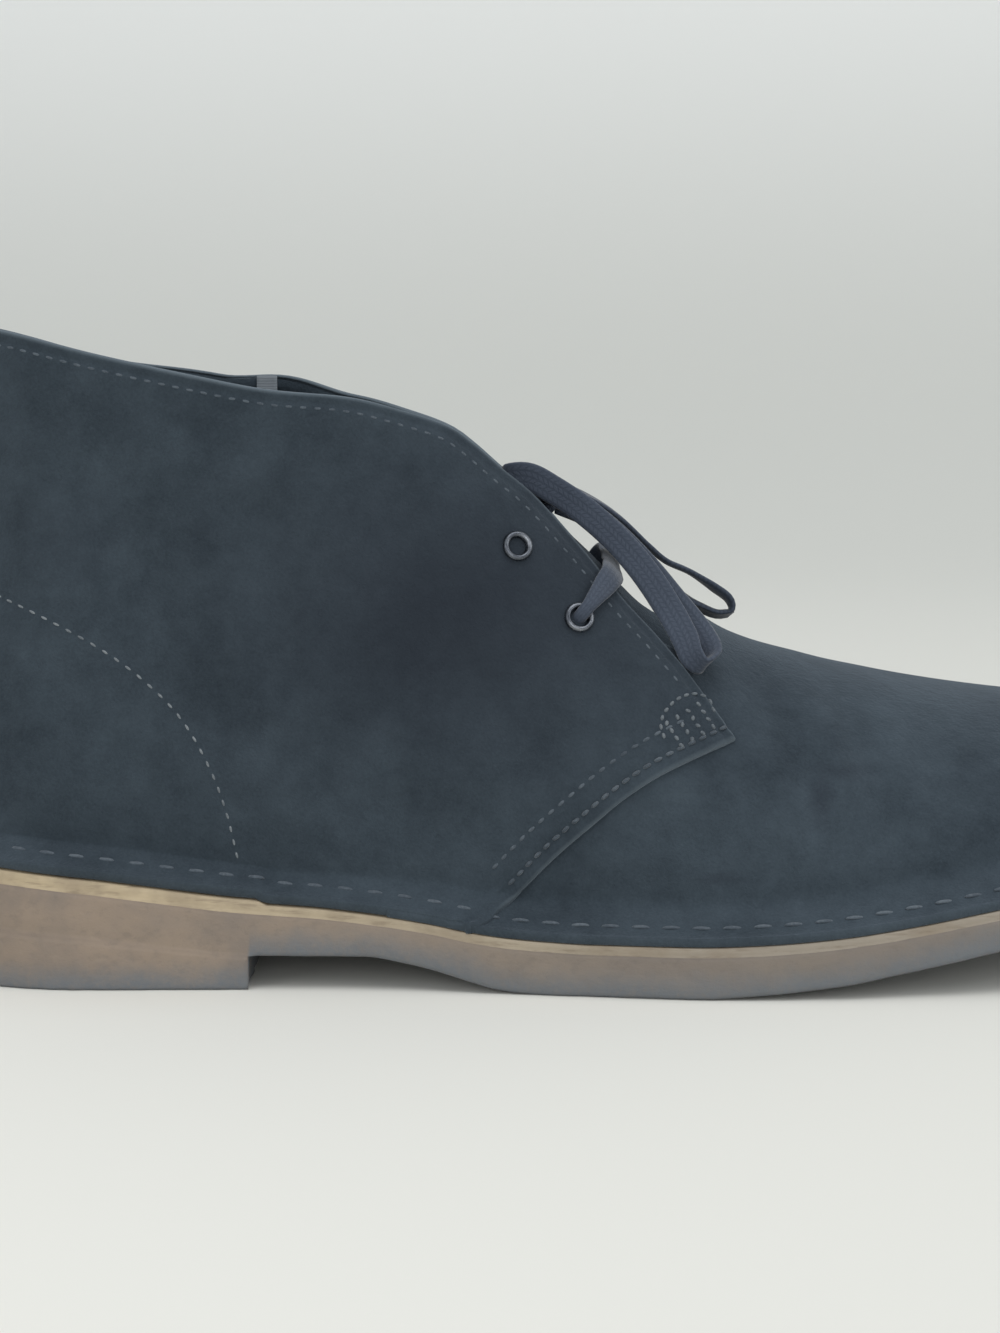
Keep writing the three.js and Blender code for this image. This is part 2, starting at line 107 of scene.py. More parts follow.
# the shaft by height: its half width, and how far the back of the heel moves forward
SHAFT = table(["half", "back"], [
    (0.014, 0.033, 0.0008),
    (0.028, 0.0334, -0.0006),
    (0.045, 0.034, -0.0018),
    (0.07, 0.0326, -0.0004),
    (0.095, 0.0314, 0.0028),
    (0.115, 0.0326, 0.0032),
    (0.135, 0.035, 0.002),
])
# the sole: top of the midsole without its heel part, and underside of the outsole
SOLE = table(["seat", "under"], [
    (-0.15, 0.0249, 0.0129), (-0.126, 0.0238, 0.0121), (-0.111, 0.0223, 0.0109), (-0.1, 0.02085, 0.0096),
    (-0.088, 0.01925, 0.0082), (-0.077, 0.0179, 0.0071), (-0.06, 0.0166, 0.0069), (-0.05, 0.0156, 0.0069),
    (-0.042, 0.0146, 0.0057), (-0.035, 0.0136, 0.0042), (-0.028, 0.0123, 0.0022), (-0.021, 0.0114, 0.0005),
    (-0.012, 0.0108, 0), (-0.003, 0.0105, 0), (0.017, 0.0105, 0), (0.031, 0.011, 0.0009),
    (0.044, 0.0121, 0.0024), (0.057, 0.0138, 0.0047), (0.067, 0.0154, 0.0066), (0.078, 0.0174, 0.0089),
    (0.095, 0.0203, 0.012), (0.115, 0.0232, 0.015), (0.135, 0.0254, 0.0174), (0.15, 0.0265, 0.0185),
])
FOOT_HEEL, FOOT_TOE = -0.1415, 0.1415
FLANGE = 0.0085          # how far the sole and the turned-out edge reach past the foot's outline
GAP = 0.0003             # between two layers that lie on each other
QUARTER = 0.0013         # how far the quarters stand proud of the vamp
FLANGE_THICK = 0.002     # the suede that lies on the sole
HEEL_BREAST = -0.075     # where the heel block ends
HEEL_STEP = {"ahead": 0.0044, "long": 0.0026}     # how the midsole's heel part runs out past the breast
HEEL_MIDSOLE = 0.0009    # how much thicker the midsole is over the heel
MIDSOLE = 0.0017         # how thick the midsole is
# where the ends of the outline, and the top of the toe, start to round in: from, to, power
HEEL_ROUND = (-0.107, FOOT_HEEL, 2.1)
TOE_ROUND = (0.076, FOOT_TOE, 2.25)
TOE_DROP = (0.094, FOOT_TOE, 2.15)
print("ball width of the foot outline:", round(2 * float(LAST.half(0.05)) / MM, 1), "mm")

# %% [markdown]
# ## Turning round the foot
# A point of the boot's wall needs two numbers. The first is `turn`: 0 at the back of the heel,
# growing along the outer side to pi at the tip of the toe, and negative along the inner side. It
# never runs into the trouble that x has at the heel and toe, where a whole wall shares one x. The
# second is the height.

# %% The outline, the sole's edge and the wall
def closing(x, curve):
    """1 before the curve starts, and from there round to 0 at its end."""
    start, end, power = curve
    t = np.clip((x - start) / (end - start), 0, 1)
    return (1 - t ** power) ** (1 / power)


def along(turn):
    """How far along the boot a turn is."""
    return (FOOT_HEEL + FOOT_TOE) / 2 - (FOOT_TOE - FOOT_HEEL) / 2 * np.cos(turn)


def side_of(turn):
    """-1 on the outer side of the foot and 1 on the inner side."""
    return -np.sign(np.sin(turn))


def turn_at(x, side):
    """The turn of a place along the boot on one side."""
    share = ((FOOT_HEEL + FOOT_TOE) / 2 - np.asarray(x, float)) / ((FOOT_TOE - FOOT_HEEL) / 2)
    return -side * np.arccos(np.clip(share, -1, 1))


def foot_outline(turn):
    """The foot's outline at the sole, as (x, y)."""
    x = along(turn)
    width = LAST.half(x) * closing(x, HEEL_ROUND) * closing(x, TOE_ROUND)
    return np.stack([x, LAST.mid(x) + side_of(turn) * width], -1)


def outward(turn):
    """The way out of the outline, level with the floor."""
    step = 1e-3
    run = foot_outline(turn + step) - foot_outline(turn - step)
    run /= np.linalg.norm(run, axis=-1, keepdims=True)
    return np.stack([run[..., 1], -run[..., 0]], -1)


def sole_edge(turn, reach, z):
    """A point at that height, that far outside the foot's outline."""
    plan = foot_outline(turn) + np.asarray(reach)[..., None] * outward(turn)
    return np.concatenate([plan + (0, SWING), np.broadcast_to(z, plan.shape[:-1])[..., None]], -1)


SWING = 0.0              # how far the outline moves sideways, measured next so that the sole is centred
EVERY_TURN = np.linspace(-math.pi, math.pi, 721)
edge_line = sole_edge(EVERY_TURN, FLANGE, 0)
SWING = -(edge_line[:, 1].max() + edge_line[:, 1].min()) / 2


def midsole_top(x):
    """The seat of the upper, with the soft step where the midsole's heel part ends."""
    step = np.clip((HEEL_BREAST + HEEL_STEP["ahead"] - x) / HEEL_STEP["long"], 0, 1)
    return SOLE.seat(x) + HEEL_MIDSOLE * step * step * (3 - 2 * step)


def wall_low(x):
    """The height where the upper's wall starts, just above the seat."""
    return SOLE.seat(x) + GAP


def wall_height(x):
    """How high the closed form of the upper is above its lower edge."""
    return (LAST.ridge(x) - wall_low(x)) * closing(x, TOE_DROP)


def full_width(x, z):
    """Half the boot's width at its widest in that section."""
    shaft = LAST.shaft(x)
    return (1 - shaft) * (LAST.half(x) + LAST.swell(x)) + shaft * SHAFT.half(z)


TUCK_HEIGHT = 0.018      # the wall draws in to the sole below this


def wall(x, side, rise):
    """The upper's outer surface: along the boot, side, and share of the height to the ridge."""
    low = wall_low(x)
    z = low + wall_height(x) * rise
    rise = np.clip(rise, 0, 1)
    tuck = LAST.swell(x) * np.clip(1 - (z - low) / TUCK_HEIGHT, 0, 1) ** 2
    width = full_width(x, z) * (1 - rise ** LAST.round(x)) ** (1 / LAST.round(x)) - tuck
    ends = closing(x, HEEL_ROUND) * closing(x, TOE_ROUND)
    y = LAST.mid(x) + LAST.crest(x) * rise + side * np.maximum(0, width) * ends + SWING
    to_back = np.clip((HEEL_BREAST - x) / (HEEL_BREAST - FOOT_HEEL), 0, 1)
    return np.stack(np.broadcast_arrays(x + SHAFT.back(z) * to_back ** 1.5, y, z), -1)


def wall_at(turn, z):
    """The same surface by turn and height."""
    x = along(turn)
    return wall(x, side_of(turn), (z - wall_low(x)) / np.maximum(wall_height(x), 1e-6))


print("the sole is", round((edge_line[:, 0].max() - edge_line[:, 0].min()) / MM, 1), "mm long and",
      round((edge_line[:, 1].max() - edge_line[:, 1].min()) / MM, 1), "mm wide")

# %% [markdown]
# ## The camera
# It stands three quarters of a metre from the boot, a little above the collar, and looks along +Y and
# slightly down. A long lens keeps the boot's proportions.

# %% Camera
CAMERA = {"place": (-0.0199, -0.75, 0.1665), "down": 8.01, "left": 0.22, "roll": -0.49,
          "lens": 94.9, "sensor": 36}

camera_data = bpy.data.cameras.new("camera")
camera = bpy.data.objects.new("camera", camera_data)
bpy.context.scene.collection.objects.link(camera)
camera_data.lens = CAMERA["lens"]
camera_data.sensor_width = CAMERA["sensor"]
camera_data.clip_start, camera_data.clip_end = 0.05, 20
camera.matrix_world = (
    Matrix.Translation(CAMERA["place"])
    @ Matrix.Rotation(math.radians(CAMERA["left"]), 4, "Z")
    @ Matrix.Rotation(math.radians(90 - CAMERA["down"]), 4, "X")
    @ Matrix.Rotation(math.radians(CAMERA["roll"]), 4, "Z")
)
bpy.context.scene.camera = camera
print("camera at", [round(v, 3) for v in camera.location])

# %% [markdown]
# ## Meshes from grids
# Leather parts could be modelled by hand or carved from the frame's solids with booleans. Hand work
# drifts from the sizes, and booleans leave ragged edges that catch the light. A grid of points on the
# form has neither trouble: it follows the cut edges exactly, it can be as fine as the nap needs, and
# thickness is added after.

# %% Mesh helpers
def grid_faces(rows, columns, flip=False, closed=False):
    """Four-sided faces between the points of a grid. With closed, the last column joins the first."""
    i, j = np.meshgrid(np.arange(rows - 1), np.arange(columns if closed else columns - 1), indexing="ij")
    right = (j + 1) % columns
    a, b = i * columns + j, i * columns + right
    c, d = b + columns, a + columns
    order = (a, d, c, b) if flip else (a, b, c, d)
    return np.stack([corner.ravel() for corner in order], 1)


def unit(vectors):
    """The same directions, each 1 long."""
    length = np.linalg.norm(vectors, axis=-1, keepdims=True)
    return vectors / np.maximum(length, 1e-12)


WELD = 2e-5              # corners nearer than this are one


def welded(points, faces):
    """Corners that lie on each other become one. Returns points, faces and a normal for each point."""
    mesh = bpy.data.meshes.new("loose")
    mesh.from_pydata(points.tolist(), [], faces.tolist())
    shape = bmesh.new()
    shape.from_mesh(mesh)
    bpy.data.meshes.remove(mesh)
    bmesh.ops.remove_doubles(shape, verts=shape.verts, dist=WELD)
    bmesh.ops.dissolve_degenerate(shape, edges=shape.edges, dist=WELD / 4)
    shape.normal_update()
    shape.verts.index_update()
    new_points = np.array([v.co for v in shape.verts])
    normals = np.array([v.normal for v in shape.verts])
    new_faces = [[v.index for v in f.verts] for f in shape.faces]
    shape.free()
    return new_points, new_faces, normals


def make_piece(name, points, faces, material, attributes=None):
    """A smooth mesh object that rides on the boot. Attributes are values that its material may read."""
    mesh = bpy.data.meshes.new(name)
    mesh.from_pydata(np.asarray(points).tolist(), [], [list(map(int, f)) for f in faces])
    mesh.validate()
    mesh.update()
    for word, values in (attributes or {}).items():
        values = np.asarray(values, np.float32)
        kind = "FLOAT" if values.ndim == 1 else "FLOAT_VECTOR"
        layer = mesh.attributes.new(word, kind, "POINT")
        layer.data.foreach_set("value" if values.ndim == 1 else "vector", values.ravel())
    mesh.polygons.foreach_set("use_smooth", [True] * len(mesh.polygons))
    piece = bpy.data.objects.new(name, mesh)
    bpy.context.scene.collection.objects.link(piece)
    mesh.materials.append(material)
    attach(piece, "root")
    triangles = sum(len(p.vertices) - 2 for p in mesh.polygons)
    print(f"{name}: {len(mesh.vertices)} points, {triangles} triangles")
    return piece


RIM_STEPS = 4            # faces across a rim


def thick_sheet(points, faces, normals, depth, bulge=0.0003):
    """Gives a surface a back, depth behind it, and a rounded rim along every open edge.
    Returns points, faces and how much each point belongs to the rim."""
    count = len(points)
    back = points - normals * np.asarray(depth).reshape(-1, 1)
    directed = {(f[k], f[(k + 1) % len(f)]) for f in faces for k in range(len(f))}
    border = np.array([(a, b) for a, b in directed if (b, a) not in directed])
    border = border[np.lexsort((border[:, 1], border[:, 0]))]
    edge_way = unit(points[border[:, 1]] - points[border[:, 0]])
    edge_out = np.cross(edge_way, unit(normals[border[:, 0]] + normals[border[:, 1]]))
    out = np.zeros_like(points)
    for end in (0, 1):
        np.add.at(out, border[:, end], edge_out)
    rim_points = np.unique(border)
    out = unit(out[rim_points])
    where = {p: n for n, p in enumerate(rim_points)}
    loops, weights = [], []
    for step in range(1, RIM_STEPS):
        half_turn = math.pi * step / RIM_STEPS
        middle = (1 - math.cos(half_turn)) / 2
        between = points[rim_points] * (1 - middle) + back[rim_points] * middle
        loops.append(between + out * bulge * math.sin(half_turn))
        weights.append(np.ones(len(rim_points)))
    all_points = np.concatenate([points, back, *loops])
    rim = np.zeros(count * 2)
    rim[rim_points] = 0.5
    rim[rim_points + count] = 0.5
    rim = np.concatenate([rim, *weights])
    all_faces = [list(f) for f in faces] + [[v + count for v in reversed(f)] for f in faces]
    starts = [2 * count + n * len(rim_points) for n in range(RIM_STEPS - 1)]
    for a, b in border:
        first = [a, *(start + where[a] for start in starts), a + count]
        second = [b, *(start + where[b] for start in starts), b + count]
        for n in range(RIM_STEPS):
            all_faces.append([first[n], first[n + 1], second[n + 1], second[n]])
    return all_points, all_faces, rim


print("a rim has", RIM_STEPS, "faces across it")

# %% [markdown]
# ## Finishes
# Every finish is procedural, so it has no seams and needs no picture. Effects that several finishes
# share are node groups: a group is built once, with named inputs and outputs, and placed in each
# material with values of its own. The small helpers below make a group from its sockets, and add and
# link the nodes in groups and materials alike.

# %% Node helpers
def new_group(name, inputs, outputs):
    """A group of shader nodes. Inputs maps names to default values, outputs lists names."""
    group = bpy.data.node_groups.new(name, "ShaderNodeTree")
    for word, value in inputs.items():
        socket = group.interface.new_socket(name=word, in_out="INPUT", socket_type="NodeSocketFloat")
        socket.default_value = value
    for word in outputs:
        group.interface.new_socket(name=word, in_out="OUTPUT", socket_type="NodeSocketFloat")
    return group, group.nodes.new("NodeGroupInput"), group.nodes.new("NodeGroupOutput")


def node(tree, kind, settings=None, **sockets):
    """Adds a node. Settings are its properties. Sockets are values or links, with _ for a space in a
    name and i0, i1 and so on for a socket by its number."""
    made = tree.nodes.new("ShaderNode" + kind)
    for word, value in (settings or {}).items():
        setattr(made, word, value)
    for word, value in sockets.items():
        key = int(word[1:]) if word[0] == "i" and word[1:].isdigit() else word.replace("_", " ")
        if isinstance(value, bpy.types.NodeSocket):
            tree.links.new(value, made.inputs[key])
        else:
            made.inputs[key].default_value = value
    return made


def noise(tree, where, scale, detail, rough):
    """A cloudy value from 0 to 1. Scale is lumps to the metre."""
    made = node(tree, "TexNoise", None, Vector=where, Scale=scale, Detail=detail, Roughness=rough)
    return made.outputs["Fac"]


def mapped(tree, value, low, high, to_low=0.0, to_high=1.0):
    """A value stretched from one range to another and held inside it."""
    return node(tree, "MapRange", {"interpolation_type": "SMOOTHSTEP"}, i0=value, i1=low, i2=high,
                i3=to_low, i4=to_high).outputs[0]


def mixed(tree, share, first, second):
    """Two colours mixed: share is how much of the second there is."""
    return node(tree, "Mix", {"data_type": "RGBA"}, i0=share, i6=first, i7=second).outputs[2]


def calc(tree, operation, first, second):
    """Two values added, multiplied and so on."""
    return node(tree, "Math", {"operation": operation}, i0=first, i1=second).outputs[0]


def weighed(tree, *parts):
    """Values added together, each times its weight."""
    total = None
    for value, weight in parts:
        part = calc(tree, "MULTIPLY", value, weight)
        total = part if total is None else calc(tree, "ADD", total, part)
    return total


def object_place(tree):
    """Where a point is on its own piece, in metres."""
    return node(tree, "TexCoord").outputs["Object"]


def painted(tree, word):
    """A value that the mesh carries at each point."""
    return node(tree, "Attribute", {"attribute_name": word}).outputs["Fac"]


print("node helpers:", ", ".join(f.__name__ for f in (new_group, node, noise, mapped, mixed, calc)))

# %% [markdown]
# ### Brushed nap
# Suede is leather split and sanded until its fibres stand up as a short nap. Stroked one way it looks
# lighter and the other way darker, so a worn boot is covered in soft clouds. Up close there is a fine
# felt of fibre ends. One group makes both: a cloud value for the colour, and a height for the bump.

# %% Shared effect: nap
CLOUD_GAIN = 2.7         # noise stays near its middle, and this spreads it from dark to light
GRAIN_GAIN = 0.8         # the same for single fibres


def build_nap():
    """Cloud is the colour's share of light nap, Height is the fibres' own."""
    inputs = {"Cloud Size": 1.0, "Fibre Size": 1.0, "Contrast": 1.0}
    group, start, end = new_group("nap", inputs, ["Cloud", "Height"])
    place = object_place(group)
    cloud_place = node(group, "VectorMath", {"operation": "SCALE"}, i0=place,
                       Scale=start.outputs["Cloud Size"]).outputs[0]
    wide = noise(group, cloud_place, 30, 2, 0.5)
    patches = noise(group, cloud_place, 80, 4, 0.55)
    strokes = noise(group, cloud_place, 260, 3, 0.6)
    fibre_place = node(group, "VectorMath", {"operation": "SCALE"}, i0=place,
                       Scale=start.outputs["Fibre Size"]).outputs[0]
    fibres = noise(group, fibre_place, 1700, 3, 0.7)
    tufts = noise(group, fibre_place, 620, 3, 0.6)
    clouds = weighed(group, (wide, 0.42), (patches, 0.36), (strokes, 0.22))
    centred = calc(group, "MULTIPLY", calc(group, "SUBTRACT", clouds, 0.5), start.outputs["Contrast"])
    cloud = calc(group, "ADD", calc(group, "MULTIPLY", centred, CLOUD_GAIN), 0.5)
    grain = calc(group, "MULTIPLY", calc(group, "SUBTRACT", fibres, 0.5), GRAIN_GAIN)
    group.links.new(calc(group, "ADD", cloud, grain), end.inputs["Cloud"])
    height = weighed(group, (fibres, 0.6), (tufts, 0.7), (strokes, 0.5))
    group.links.new(height, end.inputs["Height"])
    return group


NAP = build_nap()
print("nap group:", [s.name for s in NAP.interface.items_tree])

# %% [markdown]
# ### Dust and dirt
# Floor dirt gathers low on a sole and fades upwards in an uneven line. The group asks for a height
# above the sole's underside, which the crepe's meshes carry, and gives back a mask.

# %% Shared effect: dirt line
def build_dirt():
    """Height and Reach are millimetres above the sole's underside."""
    inputs = {"Height": 0.0, "Reach": 3.0, "Patchiness": 0.6}
    group, start, end = new_group("dirt_line", inputs, ["Mask"])
    place = object_place(group)
    patches = noise(group, place, 120, 5, 0.65)
    specks = noise(group, place, 900, 3, 0.7)
    unevenness = calc(group, "MULTIPLY", start.outputs["Reach"], start.outputs["Patchiness"])
    wobble = calc(group, "MULTIPLY", calc(group, "SUBTRACT", patches, 0.5), unevenness)
    level = calc(group, "ADD", start.outputs["Height"], calc(group, "MULTIPLY", wobble, 2.0))
    fade = mapped(group, level, start.outputs["Reach"], 0.0)
    spotty = calc(group, "MULTIPLY", fade, mapped(group, specks, 0.2, 0.6, 0.65, 1.0))
    group.links.new(spotty, end.inputs["Mask"])
    return group


DIRT = build_dirt()
print("dirt group:", [s.name for s in DIRT.interface.items_tree])

# %% [markdown]
# ### Woven cord
# A flat lace is a braid: short diagonal floats that meet in a row of arrow heads. The group reads how
# far along and how far across the lace a point is, which the lace's mesh carries, and gives back the
# braid's height.

# %% Shared effect: braid
def build_braid():
    """Floats is how many threads cross each millimetre, more or less."""
    inputs = {"Floats": 1.0}
    group, start, end = new_group("braid", inputs, ["Height"])
    lay = node(group, "Attribute", {"attribute_name": "lay"}).outputs["Vector"]
    parts = node(group, "SeparateXYZ", None, Vector=lay)
    columns = calc(group, "PINGPONG", calc(group, "MULTIPLY", parts.outputs[1], 2.5), 1.0)
    slant = calc(group, "ADD", calc(group, "MULTIPLY", parts.outputs[0], start.outputs["Floats"]), columns)
    float_wave = calc(group, "PINGPONG", calc(group, "MULTIPLY", slant, 1.6), 1.0)
    column_wave = mapped(group, columns, 0.0, 0.35)
    column_other = mapped(group, columns, 1.0, 0.65)
    height = calc(group, "MULTIPLY", mapped(group, float_wave, 0.0, 0.6),
                  calc(group, "MULTIPLY", column_wave, column_other))
    group.links.new(height, end.inputs["Height"])
    return group


BRAID = build_braid()
print("braid group:", [s.name for s in BRAID.interface.items_tree])

# %% [markdown]
# ### The materials
# Each material below keeps its own shader. Suede has no gloss at all, but its fibre tips catch light
# that grazes them, which is what sheen does. Its raw cut edges are painted a little lighter than its
# face, partly their own paler colour and partly a painted highlight.

# %% Materials
def shader_of(name, roughness, **constants):
    """A material with its shader, and the numbers that are the same all over it."""
    material = bpy.data.materials.new(name)
    material.use_nodes = True
    tree = material.node_tree
    shader = tree.nodes["Principled BSDF"]
    shader.inputs["Roughness"].default_value = roughness
    for word, value in constants.items():
        shader.inputs[word.replace("_", " ")].default_value = value
    return material, tree, shader


def place_group(tree, group, **values):
    """A shared effect in a material, with values or links of its own."""
    made = tree.nodes.new("ShaderNodeGroup")
    made.node_tree = group
    for word, value in values.items():
        key = word.replace("_", " ")
        if isinstance(value, bpy.types.NodeSocket):
            tree.links.new(value, made.inputs[key])
        else:
            made.inputs[key].default_value = value
    return made


def bump(tree, shader, height, strength, distance):
    """Small heights as light and shade on the surface."""
    made = node(tree, "Bump", None, Height=height, Strength=strength, Distance=distance)
    tree.links.new(made.outputs[0], shader.inputs["Normal"])


def srgb(red, green, blue):
    """A colour as a screen's 0 to 255, turned to the light values that shaders use, and solid."""
    return (*(((v / 255 + 0.055) / 1.055) ** 2.4 for v in (red, green, blue)), 1)


# worn is the dark of pressed nap and also of the painted shade on the outer quarter
SUEDE = {"dark": srgb(40, 48, 55), "light": srgb(64, 74, 82), "raw": srgb(96, 106, 113),
         "worn": srgb(32, 36, 44)}


def make_suede(name):
    material, tree, shader = shader_of(name, 0.95, Sheen_Weight=0.22, Sheen_Roughness=0.45,
                                       Sheen_Tint=(0.62, 0.72, 0.84, 1), Specular_IOR_Level=0.15)
    nap = place_group(tree, NAP, Contrast=1.0)
    colour = mixed(tree, nap.outputs["Cloud"], SUEDE["dark"], SUEDE["light"])
    # darker where the nap is pressed flat, and painted shade over the middle of the outer quarter
    colour = mixed(tree, painted(tree, "smudge_and_shade"), colour, SUEDE["worn"])
    # the rims painted paler: the raw edge's own colour and a painted highlight where light catches it
    colour = mixed(tree, calc(tree, "MULTIPLY", painted(tree, "rim"), 0.75), colour, SUEDE["raw"])
    tree.links.new(colour, shader.inputs["Base Color"])
    bump(tree, shader, nap.outputs["Height"], 0.55, 0.0006)
    return material


def make_crepe(name):
    material, tree, shader = shader_of(name, 0.78, Specular_IOR_Level=0.3)
    place = object_place(tree)
    fold_place = node(tree, "Mapping", None, Vector=place, Scale=(0.8, 0.8, 1.2)).outputs[0]
    folds = noise(tree, fold_place, 420, 5, 0.62)
    tone = noise(tree, place, 55, 4, 0.6)
    pores = noise(tree, place, 2300, 2, 0.7)
    heelwards = painted(tree, "heelwards")
    # paler towards the heel
    paler_to_heel = mixed(tree, heelwards, srgb(126, 117, 107), srgb(144, 129, 114))
    colour = mixed(tree, mapped(tree, tone, 0.35, 0.68, 0.0, 0.6), paler_to_heel, srgb(118, 110, 104))
    colour = mixed(tree, mapped(tree, folds, 0.5, 0.3, 0.0, 0.2), colour, srgb(96, 90, 86))
    dirt = place_group(tree, DIRT, Height=painted(tree, "above"), Reach=7.5, Patchiness=0.4)
    colour = mixed(tree, dirt.outputs["Mask"], colour, srgb(106, 110, 114))
    tree.links.new(colour, shader.inputs["Base Color"])
    bump(tree, shader, weighed(tree, (folds, 1.0), (pores, 0.25)), 0.4, 0.0006)
    return material


def make_midsole(name):
    material, tree, shader = shader_of(name, 0.62, Specular_IOR_Level=0.35)
    place = object_place(tree)
    long_place = node(tree, "Mapping", None, Vector=place, Scale=(0.25, 0.25, 1.5)).outputs[0]
    streaks = noise(tree, long_place, 700, 4, 0.6)
    tone = noise(tree, place, 70, 4, 0.6)
    heelwards = painted(tree, "heelwards")
    # paler towards the heel
    base = mixed(tree, heelwards, srgb(146, 137, 124), srgb(184, 167, 138))
    colour = mixed(tree, mapped(tree, tone, 0.4, 0.7, 0.0, 0.55), base, srgb(130, 116, 98))
    colour = mixed(tree, mapped(tree, streaks, 0.5, 0.3, 0.0, 0.4), colour, srgb(112, 98, 82))
    tree.links.new(colour, shader.inputs["Base Color"])
    bump(tree, shader, streaks, 0.35, 0.0004)
    return material


def make_lace_cloth(name):
    material, tree, shader = shader_of(name, 0.85, Sheen_Weight=0.25, Sheen_Roughness=0.4,
                                       Specular_IOR_Level=0.2)
    braid = place_group(tree, BRAID, Floats=1.0)
    fuzz = noise(tree, object_place(tree), 2600, 2, 0.6)
    raised = weighed(tree, (braid.outputs["Height"], 0.3), (fuzz, 0.6))
    colour = mixed(tree, raised, srgb(49, 56, 68), srgb(78, 86, 99))
    tree.links.new(colour, shader.inputs["Base Color"])
    bump(tree, shader, raised, 0.4, 0.0003)
    return material


def make_thread(name, dark, light):
    material, tree, shader = shader_of(name, 0.7, Sheen_Weight=0.2, Specular_IOR_Level=0.3)
    place = object_place(tree)
    twist = noise(tree, place, 1800, 2, 0.6)
    wear = noise(tree, place, 90, 3, 0.6)
    share = mapped(tree, weighed(tree, (twist, 0.5), (wear, 0.5)), 0.35, 0.65)
    tree.links.new(mixed(tree, share, dark, light), shader.inputs["Base Color"])
    bump(tree, shader, twist, 0.4, 0.0002)
    return material


def make_eyelet_metal(name):
    material, tree, shader = shader_of(name, 0.3, Metallic=1.0)
    place = object_place(tree)
    scratches = noise(tree, place, 1500, 3, 0.7)
    rubbed = mapped(tree, noise(tree, place, 300, 2, 0.5), 0.35, 0.75)
    tree.links.new(mixed(tree, rubbed, srgb(84, 88, 95), srgb(132, 136, 142)),
                   shader.inputs["Base Color"])
    tree.links.new(mapped(tree, scratches, 0.3, 0.7, 0.22, 0.42), shader.inputs["Roughness"])
    bump(tree, shader, scratches, 0.08, 0.0001)
    return material


def make_sock_leather(name):
    material, tree, shader = shader_of(name, 0.6, Specular_IOR_Level=0.3)
    place = object_place(tree)
    cells = node(tree, "TexVoronoi", {"feature": "DISTANCE_TO_EDGE"}, Vector=place, Scale=750)
    grain = cells.outputs["Distance"]
    tone = noise(tree, place, 50, 4, 0.6)
    worn = mixed(tree, tone, srgb(120, 98, 72), srgb(160, 138, 108))
    tree.links.new(mixed(tree, mapped(tree, grain, 0.0, 0.12, 0.5, 0.0), worn, srgb(92, 74, 54)),
                   shader.inputs["Base Color"])
    bump(tree, shader, mapped(tree, grain, 0.0, 0.15), 0.35, 0.0003)
    return material


def make_tape(name):
    material, tree, shader = shader_of(name, 0.8)
    place = object_place(tree)
    waves = node(tree, "TexWave", {"bands_direction": "Z"}, Vector=place, Scale=900, Distortion=0.5)
    threads = waves.outputs["Fac"]
    tree.links.new(mixed(tree, threads, srgb(104, 112, 119), srgb(132, 139, 145)),
                   shader.inputs["Base Color"])
    bump(tree, shader, threads, 0.4, 0.0002)
    return material


suede = make_suede("navy_suede")
crepe = make_crepe("crepe_rubber")
midsole_edge = make_midsole("midsole_edge")
lace_cloth = make_lace_cloth("braided_lace")
plain_thread = make_thread("navy_thread", srgb(54, 63, 72), srgb(80, 89, 97))
pale_thread = make_thread("pale_thread", srgb(92, 99, 104), srgb(128, 134, 138))
heavy_thread = make_thread("heavy_thread", srgb(62, 71, 80), srgb(86, 95, 103))
tab_thread = make_thread("tab_thread", srgb(70, 78, 85), srgb(104, 111, 116))
eyelet_metal = make_eyelet_metal("dark_metal")
sock_leather = make_sock_leather("sock_leather")
label_tape = make_tape("woven_tape")
print("materials:", [m.name for m in bpy.data.materials])

# %% [markdown]
# ## Floor and light
# The boot stands on a pale sheet that rises in a wide curve behind it, so no line shows where floor
# ends and wall begins. The sheet's colour carries painted shade: it is darker towards the toe and
# where the sheet bends up and away from the light, and paler again above. A very large soft lamp hangs
# overhead.
# Three weaker ones, from the toe, from the heel and low in front, soften the shadows as the walls of
# a pale room do.

# %% Floor and lamps
SHEET_HALF_WIDTH, SHEET_TOP = 3.0, 4.0
SHEET_PROFILE = [(-2.6, 0), (0.7, 0)]      # (y, z) of the flat part
SHEET_BEND = {"radius": 1.3, "steps": 24}
LAMPS = {
    "overhead": {"place": (0.15, -0.35, 1.7), "aim": (0, 0, 0.05), "size": 1.6, "watts": 14},
    "toe": {"place": (1.6, -0.9, 0.9), "aim": (0, 0, 0.06), "size": 1.0, "watts": 5},
    "heel": {"place": (-1.3, -1.5, 0.8), "aim": (0, 0, 0.06), "size": 1.2, "watts": 4},
    "front": {"place": (0.1, -2.0, 0.2), "aim": (0, 0, 0.03), "size": 1.4, "watts": 12},
}
SKY = {"colour": (0.93, 0.97, 1.0), "strength": 0.56}
PAPER_WITH_PAINTED_SHADE = {"heel": (0.80, 0.79, 0.74, 1), "toe": (0.715, 0.71, 0.665, 1),
         "behind": (0.65, 0.655, 0.62, 1), "above": (0.90, 0.905, 0.88, 1)}


def make_shaded_paper():
    """Matt paper with painted shade: darker towards the toe and where the sheet starts to rise, and paler
    again above.
    """
    material, tree, shader = shader_of("paper", 0.9)
    place = node(tree, "SeparateXYZ", None, Vector=object_place(tree))
    # painted shade: the light falls off from the heel's side towards the toe and into the bend
    near = mixed(tree, mapped(tree, place.outputs[0], -0.25, 0.25), PAPER_WITH_PAINTED_SHADE["heel"], PAPER_WITH_PAINTED_SHADE["toe"])
    behind = mixed(tree, mapped(tree, place.outputs[1], 0.1, 1.0), near, PAPER_WITH_PAINTED_SHADE["behind"])
    tree.links.new(mixed(tree, mapped(tree, place.outputs[2], 0.03, 0.34), behind, PAPER_WITH_PAINTED_SHADE["above"]),
                   shader.inputs["Base Color"])
    return material


